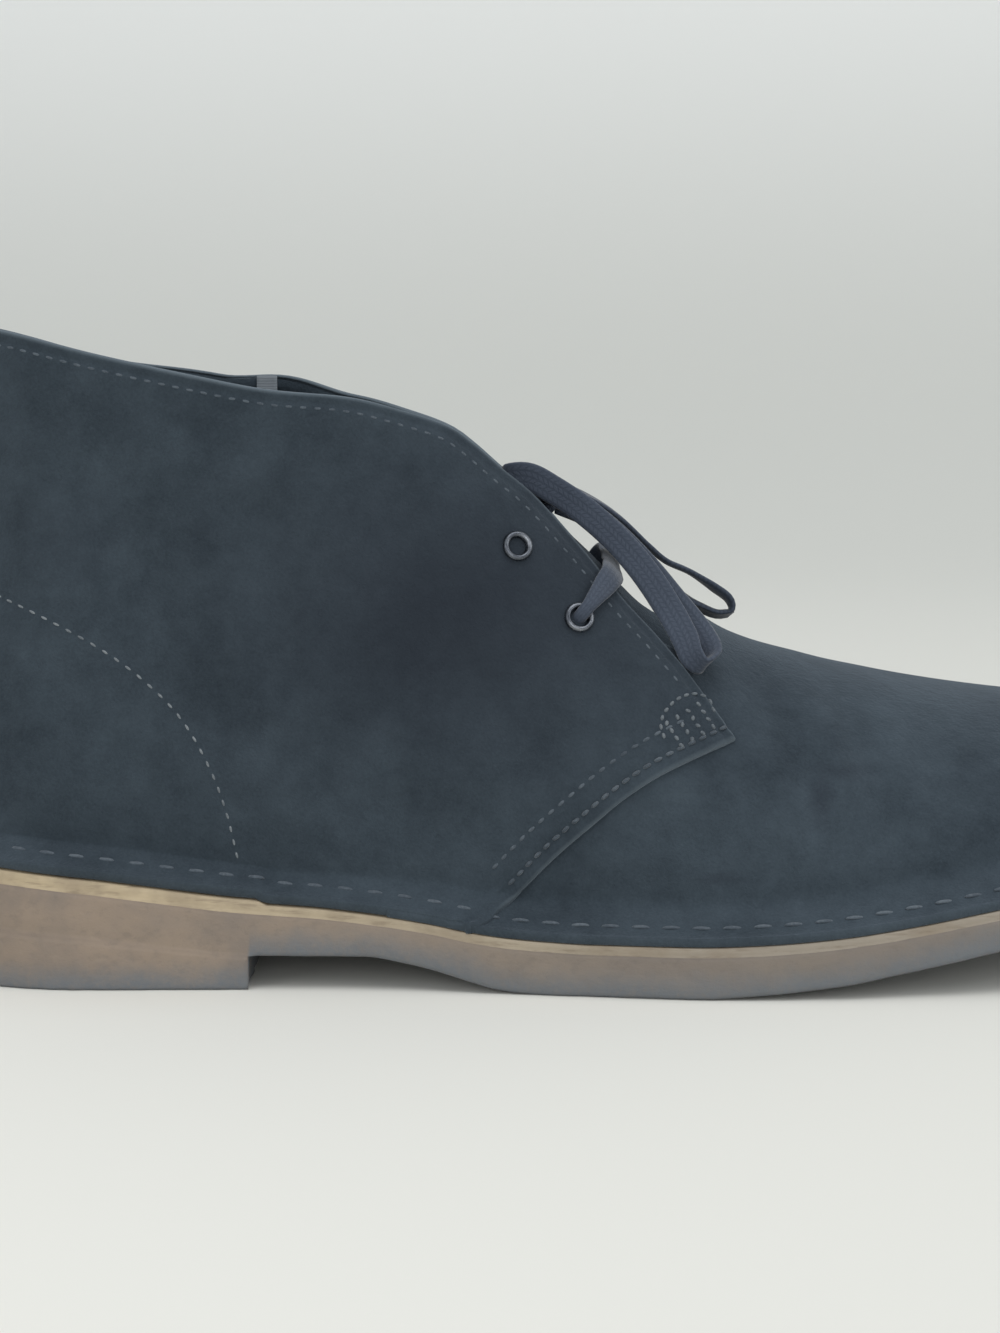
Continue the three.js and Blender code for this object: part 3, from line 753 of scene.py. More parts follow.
profile = list(SHEET_PROFILE)
for n in range(1, SHEET_BEND["steps"] + 1):
    bend = math.pi / 2 * n / SHEET_BEND["steps"]
    y, z = SHEET_PROFILE[-1]
    rise = SHEET_BEND["radius"] * (1 - math.cos(bend))
    profile.append((y + SHEET_BEND["radius"] * math.sin(bend), z + rise))
profile.append((profile[-1][0], SHEET_TOP))
edges = (-SHEET_HALF_WIDTH, SHEET_HALF_WIDTH)
sheet_points = np.array([(x, y, z) for y, z in profile for x in edges])
floor_mesh = bpy.data.meshes.new("floor")
floor_mesh.from_pydata(sheet_points.tolist(), [], grid_faces(len(profile), 2, flip=True).tolist())
floor_mesh.polygons.foreach_set("use_smooth", [True] * len(floor_mesh.polygons))
floor = bpy.data.objects.new("floor", floor_mesh)
bpy.context.scene.collection.objects.link(floor)
floor_mesh.materials.append(make_shaded_paper())

for name, lamp in LAMPS.items():
    data = bpy.data.lights.new(name, "AREA")
    data.shape = "DISK"
    data.size = lamp["size"]
    data.energy = lamp["watts"]
    light = bpy.data.objects.new(name, data)
    bpy.context.scene.collection.objects.link(light)
    light.location = lamp["place"]
    way = Vector(lamp["aim"]) - Vector(lamp["place"])
    light.rotation_euler = way.to_track_quat("-Z", "Y").to_euler()
world = bpy.data.worlds.new("studio")
bpy.context.scene.world = world
world.use_nodes = True
background = world.node_tree.nodes["Background"]
background.inputs["Color"].default_value = (*SKY["colour"], 1)
background.inputs["Strength"].default_value = SKY["strength"]
bpy.context.scene.view_settings.view_transform = "Standard"
print("lamps:", ", ".join(LAMPS))

# %% [markdown]
# ## The lace
# The boot is tied with a small bow, and a bow has its own length, so its route is settled first: a
# list of places, each with the way the lace's width lies there. A curve object with a bevel could
# follow it, but a flat lace twists, and a bevel can't be told how. A mesh swept along the route can:
# a rounded flat section at every millimetre.

# %% Sweeping a flat lace
LACE_WIDTH, LACE_THICK = 0.006, 0.0013
LACE_SECTION = 14        # points round the lace
LACE_SQUARE = 0.7        # how square its section is: 1 is round, 0 is a box
WAVE_RUN = 0.0023        # how far along the lace its edges wave by one radian


def smooth_route(rows, step=0.001):
    """A smooth curve at even steps through the rows' places, with the other columns carried along."""
    rows = np.array(rows, float)
    chords = np.sqrt(np.linalg.norm(np.diff(rows[:, :3], axis=0), axis=1))
    at = np.concatenate([[0], np.cumsum(chords)])
    slopes = np.gradient(rows, at, axis=0)
    fine = np.linspace(0, at[-1], 60 * len(rows))
    i = np.clip(np.searchsorted(at, fine, side="right") - 1, 0, len(at) - 2)
    run = (at[i + 1] - at[i])[:, None]
    t = ((fine - at[i]) / run[:, 0])[:, None]
    curve = (rows[i] * (1 + 2 * t) * (1 - t) ** 2 + rows[i + 1] * t * t * (3 - 2 * t)
             + run * t * (1 - t) * (slopes[i] * (1 - t) - slopes[i + 1] * t))
    return even_steps(curve, step)


def even_steps(curve, step):
    """The same line with points at even distances."""
    lengths = np.linalg.norm(np.diff(curve[:, :3], axis=0), axis=1)
    travelled = np.concatenate([[0], np.cumsum(lengths)])
    count = max(2, round(travelled[-1] / step) + 1)
    wanted = np.linspace(0, travelled[-1], count)
    return np.stack([np.interp(wanted, travelled, column) for column in curve.T], 1)


def route_length(points):
    """How long a line of points is."""
    return float(np.linalg.norm(np.diff(points[:, :3], axis=0), axis=1).sum())


def swept_lace(route, widths, cup=0.0004, wave=0.0):
    """Points, faces, centres and lay of a flat lace. Each row of the route is a place and the way the
    lace's width lies there. Widths are shares of the full one, spread evenly from end to end."""
    centres, across = route[:, :3], route[:, 3:6]
    forward = unit(np.gradient(centres, axis=0))
    across = unit(across - forward * (across * forward).sum(1, keepdims=True))
    face = np.cross(forward, across)
    travelled = np.concatenate([[0], np.cumsum(np.linalg.norm(np.diff(centres, axis=0), axis=1))])
    share = travelled / travelled[-1]
    width = LACE_WIDTH / 2 * np.interp(share, np.linspace(0, 1, len(widths)), widths)
    around = np.linspace(0, 2 * math.pi, LACE_SECTION, endpoint=False)
    flat = np.sign(np.cos(around)) * np.abs(np.cos(around)) ** LACE_SQUARE
    thick = np.sign(np.sin(around)) * np.abs(np.sin(around)) ** LACE_SQUARE
    sideways = width[:, None] * flat
    upwards = LACE_THICK / 2 * thick + cup * (flat ** 2 - 0.5)
    upwards = upwards + wave * np.sin(travelled / WAVE_RUN)[:, None] * flat
    points = centres[:, None] + across[:, None] * sideways[..., None] + face[:, None] * upwards[..., None]
    rows = len(centres)
    faces = grid_faces(rows, LACE_SECTION, closed=True).tolist()
    last = (rows - 1) * LACE_SECTION
    faces += [list(range(LACE_SECTION))[::-1], list(range(last, last + LACE_SECTION))]
    along_it = np.repeat(travelled / MM, LACE_SECTION)
    lay = np.stack([along_it, np.tile(flat, rows), np.zeros(len(along_it))], 1)
    return points.reshape(-1, 3), faces, points.mean(1), lay


def turned_right(points, faces):
    """Faces with their fronts outside."""
    mesh = bpy.data.meshes.new("loose")
    mesh.from_pydata(points.tolist(), [], [list(map(int, f)) for f in faces])
    shape = bmesh.new()
    shape.from_mesh(mesh)
    bpy.data.meshes.remove(mesh)
    bmesh.ops.recalc_face_normals(shape, faces=shape.faces)
    faces = [[v.index for v in f.verts] for f in shape.faces]
    shape.free()
    return faces


print(f"the lace is {LACE_WIDTH / MM:.0f} mm wide and {LACE_THICK / MM:.1f} mm thick")

# %% [markdown]
# ### The bow
# The outer loop is the broad band that falls over the facing. It leaves the knot, runs down across
# the throat, turns back under itself and returns. The inner loop does the same on the other side and
# shows its edge. Each half of the lace is one piece: it starts hidden at its top eyelet, runs up
# inside the facing into the knot, and goes on as the loop.

# %% Routes of the bow
# places in metres, and after them the way the lace's width lies there
KNOT_MIDDLE = (-0.016, -0.003, 0.097)
LOOP_OUTER = [
    (-0.0196, -0.0056, 0.1002, 0.6, -0.3, 0.7), (-0.0218, -0.0074, 0.1016, 0.5, -0.3, 0.8),
    (-0.0202, -0.009, 0.1026, 0.3, -0.1, 0.95), (-0.0164, -0.0102, 0.1028, 0.1, 0, 1),
    (-0.011, -0.0116, 0.1, 0.38, 0, 0.92), (-0.005, -0.0134, 0.096, 0.52, 0, 0.85),
    (0.001, -0.016, 0.0909, 0.6, 0, 0.8), (0.0068, -0.0195, 0.0846, 0.7, 0, 0.7),
    (0.012, -0.024, 0.0771, 0.8, 0, 0.6), (0.0156, -0.028, 0.0707, 0.86, -0.02, 0.48),
    (0.0172, -0.031, 0.067, 0.74, -0.34, 0.58), (0.0192, -0.0316, 0.0652, 0.4, -0.68, 0.6),
    (0.021, -0.029, 0.0668, 0.72, -0.32, 0.6), (0.0192, -0.0248, 0.0707, 0.82, 0.08, 0.52),
    (0.014, -0.0194, 0.0769, 0.76, 0.12, 0.6), (0.008, -0.0152, 0.0839, 0.7, 0, 0.7),
    (0.0018, -0.012, 0.0901, 0.6, 0, 0.8), (-0.0044, -0.0094, 0.0951, 0.52, 0, 0.85),
    (-0.0104, -0.008, 0.0989, 0.38, 0, 0.92), (-0.0144, -0.0073, 0.1006, 0.1, -0.1, 1),
]
LOOP_INNER = [
    (-0.0124, 0.001, 0.0996, 0, 1, 0.2), (-0.008, -0.0006, 0.0992, 0, 1, 0.1),
    (-0.002, -0.0016, 0.0966, 0, 1, 0), (0.0036, -0.002, 0.0926, 0, 1, -0.05),
    (0.009, -0.0008, 0.0872, 0, 1, -0.1), (0.013, 0.001, 0.0836, 0, 1, -0.1),
    (0.0185, 0.0032, 0.0808, 0, 1, -0.1), (0.0235, 0.005, 0.0772, 0, 1, -0.35),
    (0.027, 0.006, 0.0742, 0, 1, -0.35), (0.0274, 0.0064, 0.0718, 0, 1, -0.35),
    (0.0246, 0.0062, 0.0712, 0, 1, -0.35), (0.0206, 0.0054, 0.0729, 0, 1, -0.35),
    (0.017, 0.0044, 0.0754, 0, 1, -0.1), (0.013, 0.0032, 0.079, 0, 1, -0.1),
    (0.0074, 0.0026, 0.0836, 0, 1, -0.1), (0.001, 0.0026, 0.0884, 0, 1, 0),
    (-0.005, 0.0026, 0.092, 0, 1, 0), (-0.0106, 0.0024, 0.0946, 0, 1, 0.1),
]
END_OUTER = [(-0.0196, -0.0236, 0.09), (-0.0188, -0.019, 0.092), (-0.0178, -0.0135, 0.0942),
             (-0.017, -0.0082, 0.0958)]
END_INNER = [(-0.0192, 0.0146, 0.09), (-0.0184, 0.011, 0.092), (-0.0176, 0.0066, 0.0942),
             (-0.017, 0.0022, 0.0958)]
THROAT_LIE = (0.66, 0, -0.75)            # how a lace's width lies where it crosses the throat
KNOT_LIE = (0.7, 0.0, 0.0)
print(f"the bow has {len(LOOP_OUTER)} places on one loop and {len(LOOP_INNER)} on the other")

# %% The two halves of the lace
# name, hidden end, loop, and how far the edges wave
HALVES = [("outer", END_OUTER, LOOP_OUTER, 0.00012), ("inner", END_INNER, LOOP_INNER, 0.0)]
HALF_WIDTHS = (0.7, 0.7, 1, 1, 1, 1, 0.95, 1, 1, 1, 0.85)
for word, hidden, loop, wave in HALVES:
    hidden_rows = [(*place, *THROAT_LIE) for place in hidden]
    route = smooth_route(hidden_rows + [(*KNOT_MIDDLE, *KNOT_LIE)] + loop)
    points, faces, centres, lay = swept_lace(route, HALF_WIDTHS, wave=wave)
    faces = turned_right(points, faces)
    half = make_piece(f"lace_{word}", points, faces, lace_cloth, {"lay": lay})
    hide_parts(f"lace_loop_{word}", f"lace_end_{word}")
    print(f"lace_{word} is {route_length(centres) / MM:.0f} mm long")

# %% [markdown]
# ### The knot
# A bow's knot is the lace itself, wrapped once round the two loops and pulled tight. Two short wraps
# of the same section, one over the other, make it, with the loops running in below them.

# %% Knot
# radii along and up, how the width lies, how far its middle is moved, and its share of the lace's width
WRAPS = [
    {"radii": (0.0042, 0.0031), "lie": (0.12, 1, 0.1), "shift": (0, -0.0006, 0.0004), "wide": 0.82},
    {"radii": (0.0034, 0.0036), "lie": (-0.35, 1, -0.25), "shift": (0.0012, 0.0012, 0.0002), "wide": 0.7},
]
WRAP_START = 0.15        # the turn where a wrap starts and ends
WRAP_OPENS = 0.06 / 6.3  # how much wider it gets with each radian, so that its ends don't meet
KNOT_CUP = -0.0007       # pulled tight, the lace bends round the wrap
knot_points, knot_faces, knot_lay, count = [], [], [], 0
for wrap in WRAPS:
    angles = np.linspace(WRAP_START, 2 * math.pi + WRAP_START, 40)
    middle = np.add(KNOT_MIDDLE, wrap["shift"])
    ring = [(middle[0] + wrap["radii"][0] * math.cos(a) * (1 + WRAP_OPENS * a), middle[1],
             middle[2] + wrap["radii"][1] * math.sin(a), *wrap["lie"]) for a in angles]
    route = even_steps(np.array(ring), 0.0008)
    points, faces, _, lay = swept_lace(route, (wrap["wide"], wrap["wide"]), cup=KNOT_CUP)
    knot_points.append(points)
    knot_lay.append(lay)
    knot_faces += [[v + count for v in f] for f in turned_right(points, faces)]
    count += len(points)
knot = make_piece("lace_knot_wrap", np.concatenate(knot_points), knot_faces, lace_cloth,
                  {"lay": np.concatenate(knot_lay)})
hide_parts("lace_knot")

# %% [markdown]
# ## The upper
# A chukka's upper is three pieces of suede. The vamp covers the toe. Two quarters wrap the heel and
# meet over the throat, and their lower edge turns out over the sole and is stitched down through it,
# which is why a suede shelf runs all round the boot. Each piece is a grid whose edges are the
# pattern's cut lines, laid on the form.

# %% Cut lines of the pattern
# the quarters' edges as (x, z), seen from the side
COLLAR = [(-0.16, 0.1366), (-0.141, 0.1358), (-0.125, 0.1335), (-0.104, 0.1284), (-0.084, 0.124),
          (-0.07, 0.1212), (-0.053, 0.1192), (-0.043, 0.1163), (-0.033, 0.1124)]
FACING = [(-0.0284, 0.109), (-0.0224, 0.1036), (-0.0167, 0.0987), (-0.007, 0.0878), (0.003, 0.0756),
          (0.01, 0.0682), (0.015, 0.0629)]
TAB = (0.0251, 0.0504)
SEAM = [TAB, (0.0175, 0.0477), (0.01, 0.0444), (0.0026, 0.0396), (-0.0045, 0.0339), (-0.0117, 0.0276)]
SEAM_END = -0.0186       # where it reaches the fold above the shelf
COLLAR_LEAN = 0.05       # the inner side of the collar is this much lower for each metre across
COLLAR_WAVES = [         # soft waves in the inner side of the collar: middle, half length, rise
    (-0.069, 0.0155, 0.0026), (-0.113, 0.030, -0.0022),
]
HEEL_CURVE = 0.025       # how far forward of its back the heel's curve reaches
FILLET = 0.009           # the wall starts this far above the seat, and below it turns out on to the sole
SEAM_SLANT = 0.055       # how much further back, in turn, the seam reaches the edge of the shelf
FLANGE_ROWS = [FLANGE, 0.0083, 0.0078, 0.0072, 0.0065, 0.0058, 0.005, 0.0042]
FLANGE_RISE = 0.0023     # the shelf climbs this much from its edge to the fold
FILLET_STEPS = 9
# the fold leaves the shelf for this share of its reach, held between two lengths, and comes in along the wall
FOLD = {"share": 0.8, "least": 0.0002, "most": 0.0022, "wall": 0.0026}
BACK_RADIUS = 0.0155     # how round the heel is at its back
CURVE_STEP = 0.0005      # how far apart the points of a cut line are
SEAM.append((SEAM_END, float(wall_low(SEAM_END)) + FILLET))


def curve_xz(points):
    """A smooth (x, z) line through a few of its places."""
    return smooth_route([(x, z, 0) for x, z in points], CURVE_STEP)[:, :2]


def spaced(length, fine, fine_step, coarse_step):
    """Shares of a length from its start, in small steps first and larger ones after."""
    near = np.arange(0, fine, fine_step)
    rest = np.linspace(fine, length, max(2, round((length - fine) / coarse_step) + 1))
    return np.concatenate([near, rest]) / length


def shelf_climb(reach):
    """How much higher the shelf is that far outside the foot's outline than at its edge."""
    return FLANGE_RISE * ((FLANGE - reach) / (FLANGE - FLANGE_ROWS[-1])) ** 1.6


def turned_out(turn, wall_start, wall_way):
    """The shelf and the fold: rows of points from the shelf's edge up to just below the wall's start."""
    x = along(turn)
    top = midsole_top(x) + GAP + FLANGE_THICK
    shelf = []
    for reach in FLANGE_ROWS:
        shelf.append(sole_edge(turn, np.full(len(turn), reach), top + shelf_climb(reach)))
    fold_start = shelf[-1]
    level = unit(shelf[-1] - shelf[-3])
    inwards = ((wall_start - fold_start) * level).sum(-1, keepdims=True)
    first = fold_start + level * np.clip(FOLD["share"] * inwards, FOLD["least"], FOLD["most"])
    second = wall_start - wall_way * FOLD["wall"]
    rows = []
    for n in range(1, FILLET_STEPS):
        t = n / FILLET_STEPS
        rows.append((1 - t) ** 3 * fold_start + 3 * t * (1 - t) ** 2 * first
                    + 3 * t * t * (1 - t) * second + t ** 3 * wall_start)
    return np.stack(shelf + rows)


def grid_normals(points, faces):
    """The way out of a surface of four-cornered faces, at each point."""
    normals = np.zeros_like(points)
    corners = points[faces]
    cross = np.cross(corners[:, 2] - corners[:, 0], corners[:, 3] - corners[:, 1])
    for k in range(4):
        np.add.at(normals, faces[:, k], cross)
    return unit(normals)


print(f"the seam meets the fold {SEAM[-1][1] / MM:.1f} mm up")

# %% [markdown]
# ### Creases, smudges and painted shade
# Worn suede doesn't wrinkle sharply, it rolls. Each crease is a line on the side of the boot with a
# width and a depth: a soft trough, with a low ridge along both sides where the suede bulges. Smudges
# are places where the nap is pressed flat and looks darker; one wide one over the middle of the outer
# quarter is painted shade. Both are short tables in the boot's own sizes.

# %% Creases and smudges
# from (x, z) to (x, z), width, depth, and the side or 0 for both
CREASES = [
    (-0.071, 0.097, -0.067, 0.066, 0.0050, 0.00075, -1), (-0.050, 0.108, -0.036, 0.078, 0.0075, 0.00065, 0),
    (-0.104, 0.104, -0.094, 0.074, 0.0080, 0.00060, -1), (-0.088, 0.060, -0.060, 0.050, 0.0070, 0.00050, 0),
    (-0.034, 0.066, -0.010, 0.050, 0.0070, 0.00060, 0), (-0.056, 0.040, -0.030, 0.032, 0.0060, 0.00045, 0),
    (0.029, 0.070, 0.047, 0.028, 0.0042, 0.00065, 0), (0.046, 0.066, 0.060, 0.026, 0.0036, 0.00050, 0),
    (0.006, 0.036, 0.032, 0.024, 0.0050, 0.00045, 0), (-0.080, 0.112, -0.066, 0.090, 0.0060, 0.00050, 1),
    (-0.012, 0.085, 0.000, 0.066, 0.0045, 0.00040, 1), (0.062, 0.050, 0.074, 0.030, 0.0045, 0.00040, 1),
]
# the ridges beside a crease: their height in depths of it, how far away and how soft in widths of it
RIDGE = {"high": 0.45, "away": 1.7, "soft": 0.6}
# middle (x, z), radius along x and z, strength, and the side or 0 for both
SMUDGES_AND_SHADE = [
    (-0.0636, 0.0760, 0.0018, 0.0060, 0.60, -1), (0.0430, 0.0390, 0.0024, 0.0045, 0.50, -1),
    (0.0470, 0.0440, 0.0060, 0.0016, 0.40, -1), (0.0215, 0.0235, 0.0050, 0.0011, 0.40, -1),
    # the first one here, wide and soft, is painted shade over the middle of the outer quarter; the rest are
    # pressed nap
    (-0.0300, 0.0780, 0.0440, 0.0300, 0.70, -1), (-0.1120, 0.0920, 0.0120, 0.0100, 0.20, -1),
    (-0.0520, 0.0880, 0.0200, 0.0140, 0.24, -1), (-0.0140, 0.0820, 0.0100, 0.0080, 0.25, 0),
    (0.0960, 0.0420, 0.0080, 0.0050, 0.35, 1), (0.0560, 0.0330, 0.0120, 0.0060, 0.30, 1),
    (-0.0950, 0.0500, 0.0180, 0.0120, 0.22, 1), (0.1230, 0.0330, 0.0070, 0.0060, 0.35, 0),
]


def relief(points):
    """How far the suede stands out or in at each point."""
    x, z = points[:, 0], points[:, 2]
    side = np.sign(points[:, 1] - SWING - LAST.mid(x))
    out = np.zeros(len(points))
    for x0, z0, x1, z1, width, depth, only in CREASES:
        run = np.array([x1 - x0, z1 - z0])
        length = np.linalg.norm(run)
        share = np.clip(((x - x0) * run[0] + (z - z0) * run[1]) / length ** 2, 0, 1)
        away = np.hypot(x - x0 - share * run[0], z - z0 - share * run[1]) / width
        fold = -np.exp(-away ** 2) + RIDGE["high"] * np.exp(-(away - RIDGE["away"]) ** 2 / RIDGE["soft"])
        out += depth * fold * np.where((only == 0) | (side == only), 1.0, 0.0)
    # creases fade out above the shelf, and nearly so towards the ridge
    low = np.clip((z - midsole_top(x) - 0.006) / 0.012, 0, 1)
    high = np.clip((LAST.ridge(x) - z) / 0.014, 0.15, 1)
    return out * low * high


def smudged_and_shaded(points):
    """How dark each point is, with pressed nap and with painted shade."""
    x, z = points[:, 0], points[:, 2]
    side = np.sign(points[:, 1] - SWING - LAST.mid(x))
    dark = np.zeros(len(points))
    for middle_x, middle_z, wide, high, strength, only in SMUDGES_AND_SHADE:
        away = ((x - middle_x) / wide) ** 2 + ((z - middle_z) / high) ** 2
        here = np.where((only == 0) | (side == only), 1.0, 0.0)
        dark = np.maximum(dark, strength * np.exp(-away) * here)
    return dark


print(len(CREASES), "creases and", len(SMUDGES_AND_SHADE), "smudges")

# %% [markdown]
# ### The quarters
# Seen flat, one side of the quarters is a patch with four edges: the sole, the back of the heel, the
# collar with the facing, and the seam over the vamp. A Coons patch fills four edges with a grid that
# follows all of them. Its points are turns and heights, and the form makes them solid places. Rows
# are closest near the cut edges, where the light shows the suede's thickness.

# %% Quarters
TURN_LENGTH = 0.14       # a turn of 1 is about this far along the boot
PATCH = {"along": 0.16, "up": 0.095}     # roughly how long and high a quarter is
COARSE = 0.0013          # how far apart the rows are in the middle of a quarter
# how far from an edge they are finer, and how fine
FINE = {"heel": (0.0024, 0.0006), "seam": (0.0060, 0.0005), "top": (0.0050, 0.00045)}
EDGE_PROUD = 0.0005      # how far the suede's face is outside the form at the shelf's edge
QUARTER_DEPTH = 0.0023   # how thick a quarter and its lining are
SHELF_EXTRA = 0.0004     # how much thicker than the frame's shelf the sewn one is
GROOVE, BACK_GROOVE = 0.00032, 0.0004    # how deep stitches pull the suede down
# how far in from an edge that groove is, and how wide
GROOVES = {"top": (0.0016, 0.0006), "seam": (0.0026, 0.0008), "back": (0, 0.0006)}
PALE_EDGE_AND_HIGHLIGHT = {"from": 0.004, "fade": 0.004, "least": 0.12}     # raw edges painted paler, partly a painted highlight, and only faintly low down where shade falls


def collar_shift(curve, side):
    """How much higher a top edge given as (x, z) is on one side than in the tables."""
    ahead = np.clip((curve[:, 0] - FOOT_HEEL) / HEEL_CURVE, 0, 1)
    across = SHAFT.half(0.1) * np.sqrt(1 - (1 - ahead) ** 2)
    shift = -COLLAR_LEAN * side * across * np.clip((curve[:, 1] - TAB[1]) / 0.02, 0, 1)
    for middle, half, rise in COLLAR_WAVES:
        away = np.clip(np.abs(curve[:, 0] - middle) / half, 0, 1)
        shift += (side > 0) * rise * (0.5 + 0.5 * np.cos(math.pi * away))
    return shift


def side_patch(side):
    """Turns and heights over one quarter, from the heel to the seam and from the fold to the top edge."""
    rim = np.concatenate([curve_xz(COLLAR + FACING), curve_xz([FACING[-1], TAB])[1:]])
    rim[:, 1] += collar_shift(rim, side)
    rim = rim[rim[:, 0] >= FOOT_HEEL]
    rim = np.concatenate([[[FOOT_HEEL, rim[0, 1]]], rim])
    top = np.stack([np.abs(turn_at(rim[:, 0], side)), rim[:, 1]], 1)
    seam = curve_xz(SEAM)[::-1]
    front = np.stack([np.abs(turn_at(seam[:, 0], side)), seam[:, 1]], 1)
    sole_turns = np.linspace(0, front[0, 0], 400)
    bottom = np.stack([sole_turns, wall_low(along(sole_turns)) + FILLET], 1)
    bottom[-1] = front[0]
    back_z = np.linspace(bottom[0, 1], top[0, 1], 200)
    back = np.stack([np.zeros(200), back_z], 1)

    def at(edge, shares):
        steps = np.diff(edge, axis=0) * np.array([TURN_LENGTH, 1.0])
        travelled = np.concatenate([[0], np.cumsum(np.linalg.norm(steps, axis=1))])
        return np.stack([np.interp(shares * travelled[-1], travelled, edge[:, k]) for k in (0, 1)], 1)

    # shares along the boot from back to front, and up it from the fold to the edge
    across = spaced(PATCH["along"], *FINE["heel"], COARSE)
    near_front = 1 - spaced(PATCH["along"], *FINE["seam"], COARSE)[::-1]
    u = np.unique(np.round(np.concatenate([across[across < 0.5], near_front[near_front >= 0.5]]), 6))
    v = 1 - spaced(PATCH["up"], *FINE["top"], COARSE)[::-1]
    left, right, low, high = at(back, v), at(front, v), at(bottom, u), at(top, u)
    u3, v3 = u[None, :, None], v[:, None, None]
    patch = ((1 - v3) * low[None] + v3 * high[None] + (1 - u3) * left[:, None] + u3 * right[:, None]
             - (1 - u3) * (1 - v3) * low[0] - u3 * (1 - v3) * low[-1]
             - (1 - u3) * v3 * high[0] - u3 * v3 * high[-1])
    return patch, u


def folded_out(turn):
    """The shelf and the fold below the wall, at each turn."""
    start_z = wall_low(along(turn)) + FILLET
    start = wall_at(turn, start_z)
    return turned_out(turn, start, unit(wall_at(turn, start_z + 0.0005) - start))


def trough(gap, middle, wide):
    """1 in the middle of a groove and next to nothing outside it."""
    return np.exp(-((gap - middle) / wide) ** 2)


def pale_edge_and_highlight(points, rim):
    """How much each point shows the pale raw edge of the suede and its painted highlight."""
    above = points[:, 2] - midsole_top(points[:, 0])
    return rim * np.clip((above - PALE_EDGE_AND_HIGHLIGHT["from"]) / PALE_EDGE_AND_HIGHLIGHT["fade"], PALE_EDGE_AND_HIGHLIGHT["least"], 1)


outer_patch, shares = side_patch(-1)
inner_patch, _ = side_patch(1)
turns = np.concatenate([-inner_patch[:, :0:-1, 0], outer_patch[..., 0]], 1)
heights = np.concatenate([inner_patch[:, :0:-1, 1], outer_patch[..., 1]], 1)
front_share = np.concatenate([shares[:0:-1], shares])
walls = wall_at(turns, heights)
slant = SEAM_SLANT * np.sign(turns[0]) * front_share ** 8     # hardly any away from the seam
shelf = folded_out(turns[0])
slanted = folded_out(turns[0] - slant)
rows_down = np.linspace(1, 1 / len(shelf), len(shelf))[:, None, None]
shelf = slanted * rows_down + shelf * (1 - rows_down)
quarter_grid = np.concatenate([shelf, walls])
rows, columns = quarter_grid.shape[:2]
quarter_points = quarter_grid.reshape(-1, 3)
quarter_faces = grid_faces(rows, columns)
quarter_normals = grid_normals(quarter_points, quarter_faces)
proud = np.concatenate([np.linspace(EDGE_PROUD, QUARTER, len(shelf)), np.full(len(walls), QUARTER)])
proud = np.repeat(proud, columns)

# a shallow groove a little below the top edge and behind the seam, where the stitches pull the suede down
top_gap = np.linalg.norm(quarter_grid[-1][None] - quarter_grid, axis=2)
front_gap = np.minimum(np.linalg.norm(quarter_grid[:, :1] - quarter_grid, axis=2),
                       np.linalg.norm(quarter_grid[:, -1:] - quarter_grid, axis=2))
groove = GROOVE * (trough(top_gap, *GROOVES["top"]) + trough(front_gap, *GROOVES["seam"]))
groove[len(shelf):] += BACK_GROOVE * trough(np.abs(turns[0]) * BACK_RADIUS, *GROOVES["back"])
height_out = proud + relief(quarter_points) - groove.ravel()
quarter_points = quarter_points + quarter_normals * height_out[:, None]
quarter_normals = grid_normals(quarter_points, quarter_faces)
depth = np.concatenate([np.linspace(FLANGE_THICK + SHELF_EXTRA, QUARTER_DEPTH, len(shelf)),
                        np.full(len(walls), QUARTER_DEPTH)])
depth = np.repeat(depth, columns)
points, faces, rim = thick_sheet(quarter_points, quarter_faces.tolist(), quarter_normals, depth, bulge=0.0004)
values = {"rim": pale_edge_and_highlight(points, rim), "smudge_and_shade": smudged_and_shaded(points)}
quarters = make_piece("quarters", points, faces, suede, values)
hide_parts("upper")

# %% [markdown]
# ### The vamp
# Over the toe the sections close to a point, and a grid of sections would pinch there. So from the
# ball of the foot forward the rows fan out instead, from one place on the ridge to the outline of the
# toe. Further back the rows lean under the quarters, as the real vamp does.

# %% Vamp
FAN_X = 0.102            # where the rows of the toe meet on the ridge
VAMP_BACK = (-0.045, 0.0195)   # how far back the vamp reaches at the sole and at the ridge
VAMP_LEAN = 0.55         # the rows lean over this much of their climb
VAMP_ROWS, TOE_ROWS, WALL_POINTS = 96, 64, 78
FAN_LEVEL = 0.03         # how far up the widths are compared in the fan
VAMP_THICK = 0.0018

quarter_turn = np.linspace(0, math.pi / 2, 90)
climb = np.cos(quarter_turn)             # 1 at the sole, 0 on the ridge


